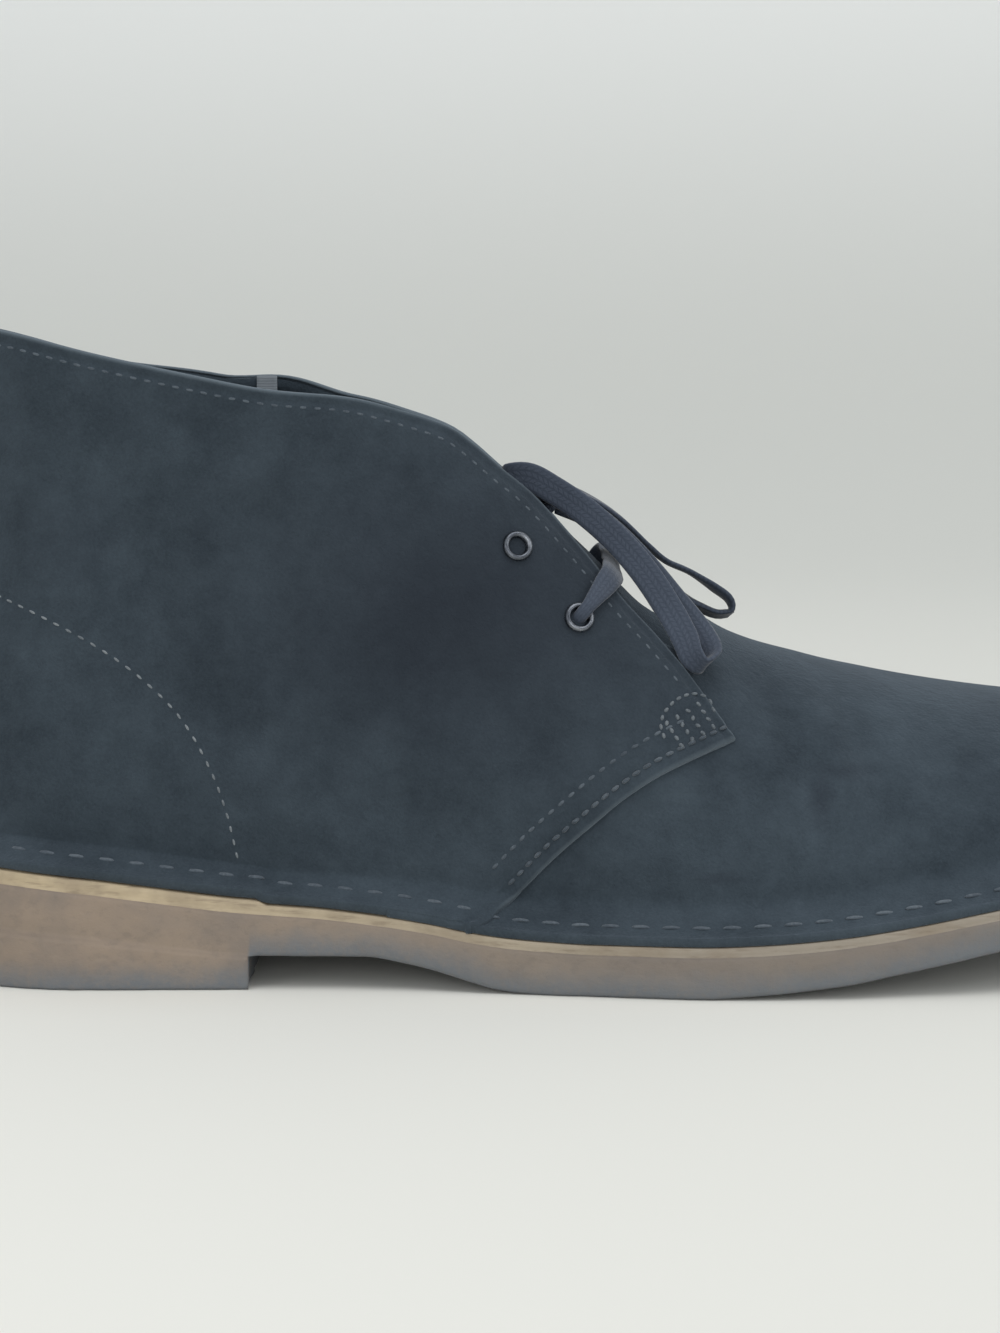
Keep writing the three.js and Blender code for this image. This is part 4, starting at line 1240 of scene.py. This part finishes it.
def vamp_half(side):
    """Rows from the throat to the tip of the toe, each from the shelf's edge up to the ridge, on one side."""
    lean = np.clip((1 - climb) / VAMP_LEAN, 0, 1)
    lean = lean * lean * (3 - 2 * lean)
    back = VAMP_BACK[0] + (VAMP_BACK[1] - VAMP_BACK[0]) * lean
    lines = []
    for share in np.linspace(0, 1, VAMP_ROWS)[:-1]:
        lines.append((back + share * (FAN_X - back), climb))
    toe_turns = np.linspace(abs(turn_at(FAN_X, side)), math.pi, TOE_ROWS)
    for turn in toe_turns:
        base = along(turn)
        x = FAN_X + (base - FAN_X) * climb
        base_width = full_width(base, FAN_LEVEL) * closing(base, TOE_ROUND)
        here = full_width(x, FAN_LEVEL) * closing(x, TOE_ROUND)
        lines.append((x, np.where(here > 1e-7, base_width * climb / np.maximum(here, 1e-7), 0)))
    rows = []
    for x, q in lines:
        power = LAST.round(x)
        rise = (1 - np.clip(q, 0, 1) ** power) ** (1 / power)
        line = wall(x, side, rise)
        line[0, 2] = wall_low(x[0])
        high = line[:, 2] - wall_low(line[:, 0])
        first = int(np.argmax(high > FILLET))
        share = (FILLET - high[first - 1]) / (high[first] - high[first - 1])
        wall_start = line[first - 1] + share * (line[first] - line[first - 1])
        line = np.concatenate([[wall_start], line[first:]])
        wall_way = unit(line[1] - line[0])
        at_tip = abs(x[0] - FOOT_TOE) <= 1e-9
        turn = np.array([-side * math.pi]) if at_tip else turn_at(x[0], side)[None]
        below = turned_out(turn, wall_start[None], wall_way[None])[:, 0]
        travelled = np.concatenate([[0], np.cumsum(np.linalg.norm(np.diff(line, axis=0), axis=1))])
        wanted = np.linspace(0, travelled[-1], WALL_POINTS)
        line = np.stack([np.interp(wanted, travelled, line[:, k]) for k in range(3)], 1)
        rows.append(np.concatenate([below, line]))
    return np.stack(rows)


outer_rows, inner_rows = vamp_half(-1), vamp_half(1)
vamp_grid = np.concatenate([outer_rows, inner_rows[:, -2::-1]], 1)
rows, columns = vamp_grid.shape[:2]
points, faces, normals = welded(vamp_grid.reshape(-1, 3), grid_faces(rows, columns, flip=True))
points = points + normals * relief(points)[:, None]
points, faces, rim = thick_sheet(points, faces, normals, np.full(len(points), VAMP_THICK))
values = {"rim": pale_edge_and_highlight(points, rim), "smudge_and_shade": smudged_and_shaded(points)}
make_piece("vamp", points, faces, suede, values)

# %% [markdown]
# ### The tongue
# The tongue is one soft leaf of the same suede, sewn to the vamp under the throat. It sags between
# the facings, so its middle line is a short table and its edges hang lower.

# %% Tongue
TONGUE = table(["z"], [
    (-0.025, 0.0995), (-0.02, 0.0954), (-0.0165, 0.093), (-0.012, 0.092), (-0.0085, 0.0904), (-0.005, 0.0876),
    (0, 0.0827), (0.003, 0.0795), (0.008, 0.0745), (0.018, 0.0682), (0.03, 0.0626),
])
TONGUE_HALF, TONGUE_DROOP, TONGUE_THICK = 0.027, 0.02, 0.0018
TONGUE_FRONT, TONGUE_LENGTH, TONGUE_RIPPLE = 0.03, 0.055, 0.0005
TIP = {"from": 0.9, "long": 0.1, "cut": 0.22}    # where its end starts to round off, and how much
TONGUE_RIM = 0.7         # how much of its pale raw edge and painted highlight shows

u = np.linspace(0, 1, 56)[:, None]
t = np.linspace(-1, 1, 60)[None, :]
x = TONGUE_FRONT - TONGUE_LENGTH * u
rounding = np.sqrt(1 - np.clip((u - TIP["from"]) / TIP["long"], 0, 1) ** 2 * TIP["cut"])
half_width = TONGUE_HALF * rounding
ripple = TONGUE_RIPPLE * np.sin(9 * u + 2.5 * t) * np.cos(4 * t)
tongue_grid = np.stack([
    x + 0 * t,
    SWING + LAST.mid(x) + LAST.crest(x) + half_width * t,
    TONGUE.z(x) - TONGUE_DROOP * t * t + ripple,
], -1)
faces = grid_faces(*tongue_grid.shape[:2])
points = tongue_grid.reshape(-1, 3)
normals = grid_normals(points, faces)
if normals[:, 2].mean() < 0:
    faces = faces[:, ::-1]
    normals = -normals
points, faces, rim = thick_sheet(points, faces.tolist(), normals, np.full(len(points), TONGUE_THICK))
values = {"rim": rim * TONGUE_RIM, "smudge_and_shade": smudged_and_shaded(points)}
tongue = make_piece("tongue_leaf", points, faces, suede, values)
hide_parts("tongue")

# %% [markdown]
# ## Stitches
# A line of stitches could be painted, but real thread stands up, sinks at both ends and catches the
# light. Here every stitch is a tiny pod of its own, set along a line on the suede, and all the
# stitches of one thread are one mesh.

# %% Stitch helpers
POD_ROWS, POD_AROUND = 5, 6
POD_BLUNT, POD_DIP, POD_SUNK = 2.6, 0.22, 0.3    # how blunt it is, how it bends down, where its ends are
STITCH_LIFT = 0.0001     # how far above the suede its middle is
# how far apart the stitches of a row start, how long one is, and what else is its own
STITCHES = {
    "edge": {"pitch": 0.0029, "length": 0.0021, "width": 0.0007},
    "seam": {"pitch": 0.0027, "length": 0.0019},
    "tack": {"pitch": 0.0019, "length": 0.0013, "jitter": 0.5},
    "arch": {"pitch": 0.0019, "length": 0.0014, "width": 0.0007, "jitter": 0.15},
    "counter": {"pitch": 0.0029, "length": 0.0017, "width": 0.0006, "height": 0.0006},
    "back": {"pitch": 0.0029, "length": 0.0020},
    "shelf": {"pitch": 0.0062, "length": 0.0040, "width": 0.0009, "height": 0.0008, "jitter": 0.03},
}


def pod():
    """One stitch, 1 long, wide and high: a pod with its ends dipped."""
    points = []
    for i in range(POD_ROWS):
        share = (i + 0.5) / POD_ROWS * 2 - 1
        radius = math.sqrt(1 - abs(share) ** POD_BLUNT) * 0.5
        for k in range(POD_AROUND):
            angle = 2 * math.pi * k / POD_AROUND
            z = radius * math.sin(angle) - POD_DIP * share ** 2
            points.append((share * 0.5, radius * math.cos(angle), z))
    faces = grid_faces(POD_ROWS, POD_AROUND, closed=True).tolist()
    points += [(-0.5, 0, -POD_SUNK), (0.5, 0, -POD_SUNK)]
    tip, last = POD_ROWS * POD_AROUND, (POD_ROWS - 1) * POD_AROUND
    for k in range(POD_AROUND):
        after = (k + 1) % POD_AROUND
        faces.append([tip, after, k])
        faces.append([tip + 1, last + k, last + after])
    return np.array(points), faces


POD_POINTS, POD_FACES = pod()


def sewn(places, ways, ups, length, width, height):
    """Stitches at places, each along its way and standing up from the suede."""
    ways = unit(ways - ups * (ways * ups).sum(1, keepdims=True))
    sides = np.cross(ups, ways)
    points = (places[:, None] + ways[:, None] * POD_POINTS[None, :, :1] * length
              + sides[:, None] * POD_POINTS[None, :, 1:2] * width
              + ups[:, None] * POD_POINTS[None, :, 2:] * height)
    faces = [[v + n * len(POD_POINTS) for v in face] for n in range(len(places)) for face in POD_FACES]
    return points.reshape(-1, 3), faces


def row_of_stitches(line, ups, seed, pitch, length, width=0.0008, height=0.0007, jitter=0.05):
    """Stitches at even steps along a line that lies on the suede."""
    both = even_steps(np.concatenate([line, ups], 1), pitch)
    places, up = both[:, :3], unit(both[:, 3:])
    ways = np.gradient(places, axis=0)
    scatter = np.random.default_rng(seed)
    ways = unit(ways) + np.cross(up, unit(ways)) * scatter.normal(0, jitter, len(places))[:, None]
    return sewn(places + up * STITCH_LIFT, unit(ways), up, length, width, height)


def on_quarter(turn, z, extra=0.0):
    """A line on the quarters' finished surface, and the way out of it."""
    turn, z = np.asarray(turn, float), np.asarray(z, float)
    here = wall_at(turn, z)
    step = 1e-3
    out = unit(np.cross(wall_at(turn + step, z) - wall_at(turn - step, z),
                        wall_at(turn, z + step * 0.1) - wall_at(turn, z - step * 0.1)))
    return here + out * (QUARTER + relief(here) + extra)[:, None], out


def joined(parts):
    """Several points-and-faces pairs as one."""
    points, faces, count = [], [], 0
    for some, of_them in parts:
        points.append(some)
        faces += [[v + count for v in face] for face in of_them]
        count += len(some)
    return np.concatenate(points), faces


def inset(curve, distance):
    """The same (x, z) line moved that far to the right of its own direction."""
    way = unit(np.gradient(curve, axis=0))
    return curve + np.stack([way[:, 1], -way[:, 0]], 1) * distance


def quarter_row(kind, curve, side, sunk, seed):
    """A row of stitches along an (x, z) line on one quarter, sunk that far into it."""
    line, up = on_quarter(turn_at(curve[:, 0], side), curve[:, 1], -sunk)
    return row_of_stitches(line, up, seed, **STITCHES[kind])


print("one stitch has", len(POD_POINTS), "points")

# %% [markdown]
# ### Where the stitches run
# A row follows the collar and the facings, two rows hold each quarter to the vamp with a block of
# back-and-forth stitches at the tab, one pale row on the counter shows where the stiff heel piece is
# held, and the heaviest thread of all goes round the shelf and through the sole.

# %% Rows on the quarters
COUNTER_STITCH = [(-0.1412, 0.0855), (-0.126, 0.0806), (-0.115, 0.076), (-0.105, 0.0705), (-0.096, 0.064),
                  (-0.088, 0.0557), (-0.082, 0.045), (-0.079, 0.036), (-0.0772, 0.0275)]
BACK_ROW = 0.0024        # how far from the back seam its stitches run
BACK_SPAN = (0.034, 0.128)               # from how far up to how far up they go
COLLAR_ROW = 0.0026      # how far below the top edge its stitches run
COLLAR_CLEAR = 0.0004    # where that row stops before the back seam
SEAM_ROWS = [(0.0026, 0.0016), (0.0072, 0.0090)]     # how far behind the seam, and left out at the tab
# the tab's block of short stitches, along the seam and over it, and the rounded row that closes it
TACKS = {"rows": 4, "first": 0.0030, "apart": 0.0024, "over": 0.0040, "long": 0.0052, "slant": 0.0008}
ARCH = {"from": -0.1, "to": math.pi + 0.25, "along": 0.0070, "over": 0.0078, "radii": (0.0056, 0.0044)}
dark_rows, tab_rows, pale_rows = [], [], []
for side in (-1, 1):
    edge = curve_xz(COLLAR + FACING)
    edge = edge[edge[:, 0] >= FOOT_HEEL]
    edge[:, 1] += collar_shift(edge, side)
    collar_row = inset(edge, COLLAR_ROW)
    collar_row = collar_row[collar_row[:, 0] > FOOT_HEEL + COLLAR_CLEAR]
    dark_rows.append(quarter_row("edge", collar_row, side, 0.0003, 3 + side))

    seam = curve_xz(SEAM)
    for gap, skip in SEAM_ROWS:
        seam_row = inset(seam, gap)[round(skip / CURVE_STEP):]
        dark_rows.append(quarter_row("seam", seam_row, side, 0.0002, 5 + side))

    run = unit(np.subtract(SEAM[3], TAB))
    over = np.array([run[1], -run[0]])
    for n in range(TACKS["rows"]):
        start = np.array(TAB) + run * (TACKS["first"] + TACKS["apart"] * n) + over * TACKS["over"]
        tack = np.linspace(start, start + over * TACKS["long"] + run * TACKS["slant"], 20)
        tab_rows.append(quarter_row("tack", tack, side, 0.0001, 20 + n))
    arch_turns = np.linspace(ARCH["from"], ARCH["to"], 30)
    arch = (np.array(TAB) + run * ARCH["along"] + over * ARCH["over"]
            + np.outer(np.cos(arch_turns), run) * ARCH["radii"][0]
            + np.outer(np.sin(arch_turns), over) * ARCH["radii"][1])
    tab_rows.append(quarter_row("arch", arch, side, 0.0001, 31))

    counter = curve_xz(COUNTER_STITCH)
    pale_rows.append(quarter_row("counter", counter, side, 0.0002, 8 + side))

    back_heights = np.linspace(*BACK_SPAN, 120)
    turn = np.full(len(back_heights), -side * BACK_ROW / BACK_RADIUS)
    line, up = on_quarter(turn, back_heights, -0.0001)
    dark_rows.append(row_of_stitches(line, up, 12 + side, **STITCHES["back"]))
points, faces = joined(dark_rows)
make_piece("quarter_stitches", points, faces, plain_thread)
points, faces = joined(tab_rows)
make_piece("tab_stitches", points, faces, tab_thread)
points, faces = joined(pale_rows)
make_piece("counter_stitches", points, faces, pale_thread)

# %% Row round the shelf
SHELF_ROW = 0.0053       # how far outside the foot's outline it runs
SHELF_ROW_LEAN = 0.6     # how much its stitches face outwards
# behind the end of the vamp's shelf the row climbs on to the quarters'
QUARTER_SHELF = {"from": -0.0245, "long": 0.0015, "rise": 0.0008}
all_turns = np.linspace(-math.pi, math.pi, 1600)
x = along(all_turns)
climbed = np.clip((QUARTER_SHELF["from"] - x) / QUARTER_SHELF["long"], 0, 1)
shelf_top = midsole_top(x) + GAP + FLANGE_THICK + shelf_climb(SHELF_ROW) + QUARTER_SHELF["rise"] * climbed
shelf_line = sole_edge(all_turns, np.full(len(all_turns), SHELF_ROW), shelf_top)
facing_out = np.concatenate([outward(all_turns) * SHELF_ROW_LEAN, np.ones((len(all_turns), 1))], 1)
points, faces = row_of_stitches(shelf_line, unit(facing_out), 40, **STITCHES["shelf"])
make_piece("shelf_stitches", points, faces, heavy_thread)

# %% [markdown]
# ## Eyelets
# An eyelet is one metal ring, pressed: a rolled flange outside, a barrel through the suede and a
# splayed lip inside. It is turned on a lathe of points about the way out of the upper.

# %% Eyelets and the lace that crosses the throat
EYELETS = [(-0.0193, 0.0898), (-0.0067, 0.0751)]
# (radius, height) round the ring's section, from the mouth outwards and back inside
EYELET_PROFILE = [
    (0.0017, -0.0006), (0.0018, 0.0003), (0.0020, 0.0009), (0.0023, 0.0012), (0.0027, 0.0012),
    (0.00305, 0.0009), (0.0032, 0.0004), (0.0031, 0.0000), (0.0027, -0.0002), (0.0023, -0.0006),
    (0.0022, -0.0024), (0.0024, -0.0032), (0.0029, -0.0034), (0.0031, -0.0037), (0.0027, -0.0041),
    (0.0021, -0.0040), (0.0017, -0.0034),
]
EYELET_STEPS = 40        # points round a ring


def on_side(x, z, side, lift=0.0):
    """A place on one quarter, that far above it, and the way out."""
    point, out = on_quarter(turn_at(np.array([x]), side), np.array([z]), lift)
    return point[0], out[0]


for side, word in ((-1, "outer"), (1, "inner")):
    for number, (x, z) in enumerate(EYELETS, 1):
        middle, out = on_side(x, z, side)
        first = unit(np.cross(out, (0.0, 0.0, 1.0)))
        second = np.cross(out, first)
        angles = np.linspace(0, 2 * math.pi, EYELET_STEPS, endpoint=False)
        ring = np.cos(angles)[:, None] * first + np.sin(angles)[:, None] * second
        points = np.concatenate([middle + ring * radius + out * height for radius, height in EYELET_PROFILE])
        faces = grid_faces(len(EYELET_PROFILE), EYELET_STEPS, closed=True).tolist()
        last = (len(EYELET_PROFILE) - 1) * EYELET_STEPS
        for k in range(EYELET_STEPS):
            after = (k + 1) % EYELET_STEPS
            faces.append([last + k, last + after, after, k])
        faces = turned_right(points, faces)
        piece = make_piece(f"eyelet_ring_{word}_{number}", points, faces, eyelet_metal)
        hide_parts(f"eyelet_{word}_{number}")

# (x, z) on the side, and how far above it the middle of the lace is
BAR = [(-0.0072, 0.0745, -0.0036), (-0.0069, 0.0749, -0.0004), (-0.0058, 0.0762, 0.0017),
       (-0.0042, 0.0781, 0.0019), (-0.0026, 0.0799, 0.0015), (-0.0008, 0.0819, 0.0011)]
BAR_MIDDLE = (0.0014, 0.0834)            # (x, z) over the throat
BAR_SAG = 0.0004
BAR_WIDTHS = (0.45, 0.5, 0.85, 1, 1, 1, 1, 1, 1, 0.85, 0.5, 0.45)
middle_y = float(wall(np.array([0.0]), -1, np.array([1.0]))[0, 1])
rows = [(*on_side(x, z, -1, lift)[0], *THROAT_LIE) for x, z, lift in BAR]
for y, sag in ((-0.008, 0), (0.0, BAR_SAG), (0.008, 0)):
    rows.append((BAR_MIDDLE[0], middle_y + y, BAR_MIDDLE[1] - sag, *THROAT_LIE))
rows += [(*on_side(x, z, 1, lift)[0], *THROAT_LIE) for x, z, lift in reversed(BAR)]
route = smooth_route(rows, 0.0008)
points, faces, _, lay = swept_lace(route, BAR_WIDTHS, wave=0.0001)
bar = make_piece("lace_across", points, turned_right(points, faces), lace_cloth, {"lay": lay})
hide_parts("lace_bar")

# %% [markdown]
# ## Inside
# The foot stands on a leather sock over the insole. Its edge turns up a little against the wall. A
# small blank tape tab is sewn to the inside of the collar.

# %% Sock and tab
SOCK_REACH = -0.0033     # its edge is this far inside the foot's outline
SOCK_THICK = 0.0025
SOCK_RIM = 0.0016        # how far its edge turns up
SOCK_TOP = HEEL_MIDSOLE + 2 * GAP + SOCK_THICK
SOCK_ROWS, SOCK_COLUMNS = 150, 48
# hollows worn by the heel and the ball of the foot: middle, half length, half share of the width, depth
HOLLOWS = [(-0.09, 0.03, 0.25, 0.0007), (0.05, 0.035, 0.28, 0.0006)]
stations = np.linspace(0, math.pi, SOCK_ROWS)
shares = np.linspace(0, 1, SOCK_COLUMNS)
reach = np.full(SOCK_ROWS, SOCK_REACH)
outer_edge, inner_edge = sole_edge(stations, reach, 0), sole_edge(-stations, reach, 0)
sock_grid = outer_edge[:, None] * (1 - shares[None, :, None]) + inner_edge[:, None] * shares[None, :, None]
dish = np.abs(shares * 2 - 1)[None, :] ** 6 * SOCK_RIM
worn = 0
for middle, half, half_share, deep in HOLLOWS:
    off_x, off_share = (sock_grid[..., 0] - middle) / half, (shares[None] - 0.5) / half_share
    worn = worn + deep * np.exp(-off_x ** 2 - off_share ** 2)
sock_grid[..., 2] = SOLE.seat(sock_grid[..., 0]) + SOCK_TOP + dish - worn
flat_points = sock_grid.reshape(-1, 3)
points, faces, normals = welded(flat_points, grid_faces(SOCK_ROWS, SOCK_COLUMNS, flip=True))
points, faces, _ = thick_sheet(points, faces, normals, np.full(len(points), SOCK_THICK))
sock = make_piece("sock", points, faces, sock_leather)
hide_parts("insole")

TAPE = {"x": -0.0735, "wide": 0.0044, "from": 0.1224, "to": 0.1124, "thick": 0.0005,
        "inside": 0.0030, "hangs": 0.0010}
TAPE_ROWS, TAPE_COLUMNS = 14, 7
xs = np.linspace(TAPE["x"] - TAPE["wide"] / 2, TAPE["x"] + TAPE["wide"] / 2, TAPE_COLUMNS)
zs = np.linspace(TAPE["from"], TAPE["to"], TAPE_ROWS)
tape_x, tape_z = (values.ravel() for values in np.meshgrid(xs, zs))
outer_face, out = on_quarter(turn_at(tape_x, 1), tape_z)
hang = (TAPE["from"] - tape_z) / (TAPE["from"] - TAPE["to"])
points = outer_face - out * (TAPE["inside"] + TAPE["hangs"] * hang ** 2)[:, None]
faces = grid_faces(TAPE_ROWS, TAPE_COLUMNS)
normals = grid_normals(points, faces)
if (normals * out).sum() > 0:
    faces, normals = faces[:, ::-1], -normals
depth = np.full(len(points), TAPE["thick"])
points, faces, _ = thick_sheet(points, faces.tolist(), normals, depth, bulge=0.0001)
make_piece("blank_tab", points, faces, label_tape)

# %% [markdown]
# ## Sole
# The sole is crepe, sheets of coagulated rubber with a wrinkled, sticky face, trimmed level with the
# upper's shelf. A plain extrusion would look machined. Every layer here is a ring of points round the
# outline whose side swells a little and wanders, with rounded corners, and wrinkles pushed into the
# mesh itself.

# %% Sole helpers
WRINKLE_SIZE = 0.012     # how far apart the widest wrinkles are
WRINKLE_SCALES, WRINKLE_WAVES, WRINKLE_SEED = (1.0, 1.7, 2.9, 4.6), 7, 7
OUTSOLE_CORNER, HEEL_CORNER = 0.0012, 0.0009
CREPE_WRINKLES = 0.00022
CORNER_STEPS = 4
HEELWARDS = {"from": 0.02, "long": 0.12}


def wrinkles(points, strength):
    """A smooth unevenness of each point, from sums of waves in random directions."""
    waves = np.random.default_rng(WRINKLE_SEED)
    out = np.zeros(len(points))
    for scale in WRINKLE_SCALES:
        for _ in range(WRINKLE_WAVES):
            way = unit(waves.normal(size=3)) * scale * 2 * math.pi / WRINKLE_SIZE
            out += np.sin(points @ way + waves.uniform(0, 2 * math.pi)) / scale
    return out / 5 * strength                   # so many waves together seldom reach more than 5


def sole_layer(top, bottom, reach, corner, swell, turns, steps=9, lip=0.0001):
    """The side of one layer of the sole: a grid from its rounded lower edge to its upper edge."""
    x = along(turns)
    low, high, corner = bottom(x), top(x), corner(x)
    rows = []
    for n in range(CORNER_STEPS):
        bend = math.pi / 2 * n / CORNER_STEPS
        rows.append((reach - corner * (1 - math.sin(bend)), low + corner * (1 - math.cos(bend))))
    for n in range(steps + 1):
        share = n / steps
        bulge = swell * 4 * share * (1 - share)
        rows.append((reach + bulge + 0 * x, low + corner + (high - low - corner - lip) * share))
    rows.append((reach - lip + 0 * x, high))
    return np.stack([sole_edge(turns, r, z) for r, z in rows])


def wrinkled(grid, ways, strength):
    """The points of a ring-shaped grid, wrinkled along each column's way out, and its faces."""
    points = grid.reshape(-1, 3).copy()
    ways = np.tile(np.concatenate([ways, np.zeros((len(ways), 1))], 1), (len(grid), 1))
    points += ways * wrinkles(points, strength)[:, None]
    return points, grid_faces(*grid.shape[:2], closed=True).tolist()


def capped(name, grid, turns, material):
    """A closed layer: its grid runs from the heel round the outer side to the toe and back."""
    rows, columns = grid.shape[:2]
    points, faces = wrinkled(grid, outward(turns), CREPE_WRINKLES)
    for row, flip in ((0, False), (rows - 1, True)):
        ring = [row * columns + k for k in range(columns)]
        for k in range(columns // 2):
            corners = [ring[k], ring[k + 1], ring[(columns - k - 1) % columns], ring[(columns - k) % columns]]
            face = list(dict.fromkeys(corners))
            faces.append(face if flip else face[::-1])
    return make_layer(name, points, faces, material)


def make_layer(name, points, faces, material):
    """A layer with what its material reads: millimetres above the sole's underside, and how near the
    heel it is."""
    under = SOLE.under(points[:, 0]) * (points[:, 0] > HEEL_BREAST)
    heelwards = np.clip((HEELWARDS["from"] - points[:, 0]) / HEELWARDS["long"], 0, 1)
    values = {"above": (points[:, 2] - under) / MM, "heelwards": heelwards}
    return make_piece(name, points, turned_right(points, faces), material, values)


def outsole_corner(x):
    """How round the outsole's lower edge is: not at all where the heel block carries on below it."""
    return OUTSOLE_CORNER * np.clip((x - HEEL_BREAST) / 0.002, 0, 1)


def even(value):
    """A measure that is the same all along the boot."""
    return lambda x: value + 0 * x


print(f"the widest wrinkles are {WRINKLE_SIZE / MM:.0f} mm apart and {CREPE_WRINKLES / MM:.2f} mm high")

# %% Outsole, midsole and heel
ring_turns = np.concatenate([np.linspace(0, math.pi, 421), np.linspace(-math.pi, 0, 421)[1:-1]])


def seam_height(x):
    """Where the outsole ends and the midsole begins."""
    return SOLE.seat(x) - MIDSOLE


def under_shelf(x):
    """Where the midsole ends, close below the shelf."""
    return midsole_top(x) + GAP * 0.9


side = sole_layer(seam_height, SOLE.under, FLANGE, outsole_corner, 0.0002, ring_turns, lip=0)
outsole = capped("crepe_outsole", side, ring_turns, crepe)
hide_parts("outsole")
side = sole_layer(under_shelf, seam_height, FLANGE, even(0), 0.0001, ring_turns, steps=3)
midsole = capped("midsole_layer", side, ring_turns, midsole_edge)
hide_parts("midsole")

BREAST_POINTS = 60
back_turn = float(turn_at(HEEL_BREAST, -1))
heel_turns = np.linspace(-back_turn, back_turn, 260)
heel_grid = sole_layer(SOLE.under, even(0), FLANGE, even(HEEL_CORNER), 0, heel_turns, steps=8, lip=0)
share = np.linspace(0, 1, BREAST_POINTS + 2)[1:-1]
breast = heel_grid[:, -1:] * (1 - share[None, :, None]) + heel_grid[:, :1] * share[None, :, None]
breast[..., 0] -= np.interp(breast[..., 2], [0, HEEL_CORNER], [HEEL_CORNER, 0])
heel_grid = np.concatenate([heel_grid, breast], 1)
rows, columns = heel_grid.shape[:2]
heel_ways = np.concatenate([outward(heel_turns), np.tile((1.0, 0.0), (BREAST_POINTS, 1))])
points, faces = wrinkled(heel_grid, heel_ways, CREPE_WRINKLES)
points[:, 2] = np.maximum(points[:, 2], 0)
faces += [list(range(columns))[::-1], list(range((rows - 1) * columns, rows * columns))]
heel = make_layer("crepe_heel", points, faces, crepe)
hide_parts("heel")
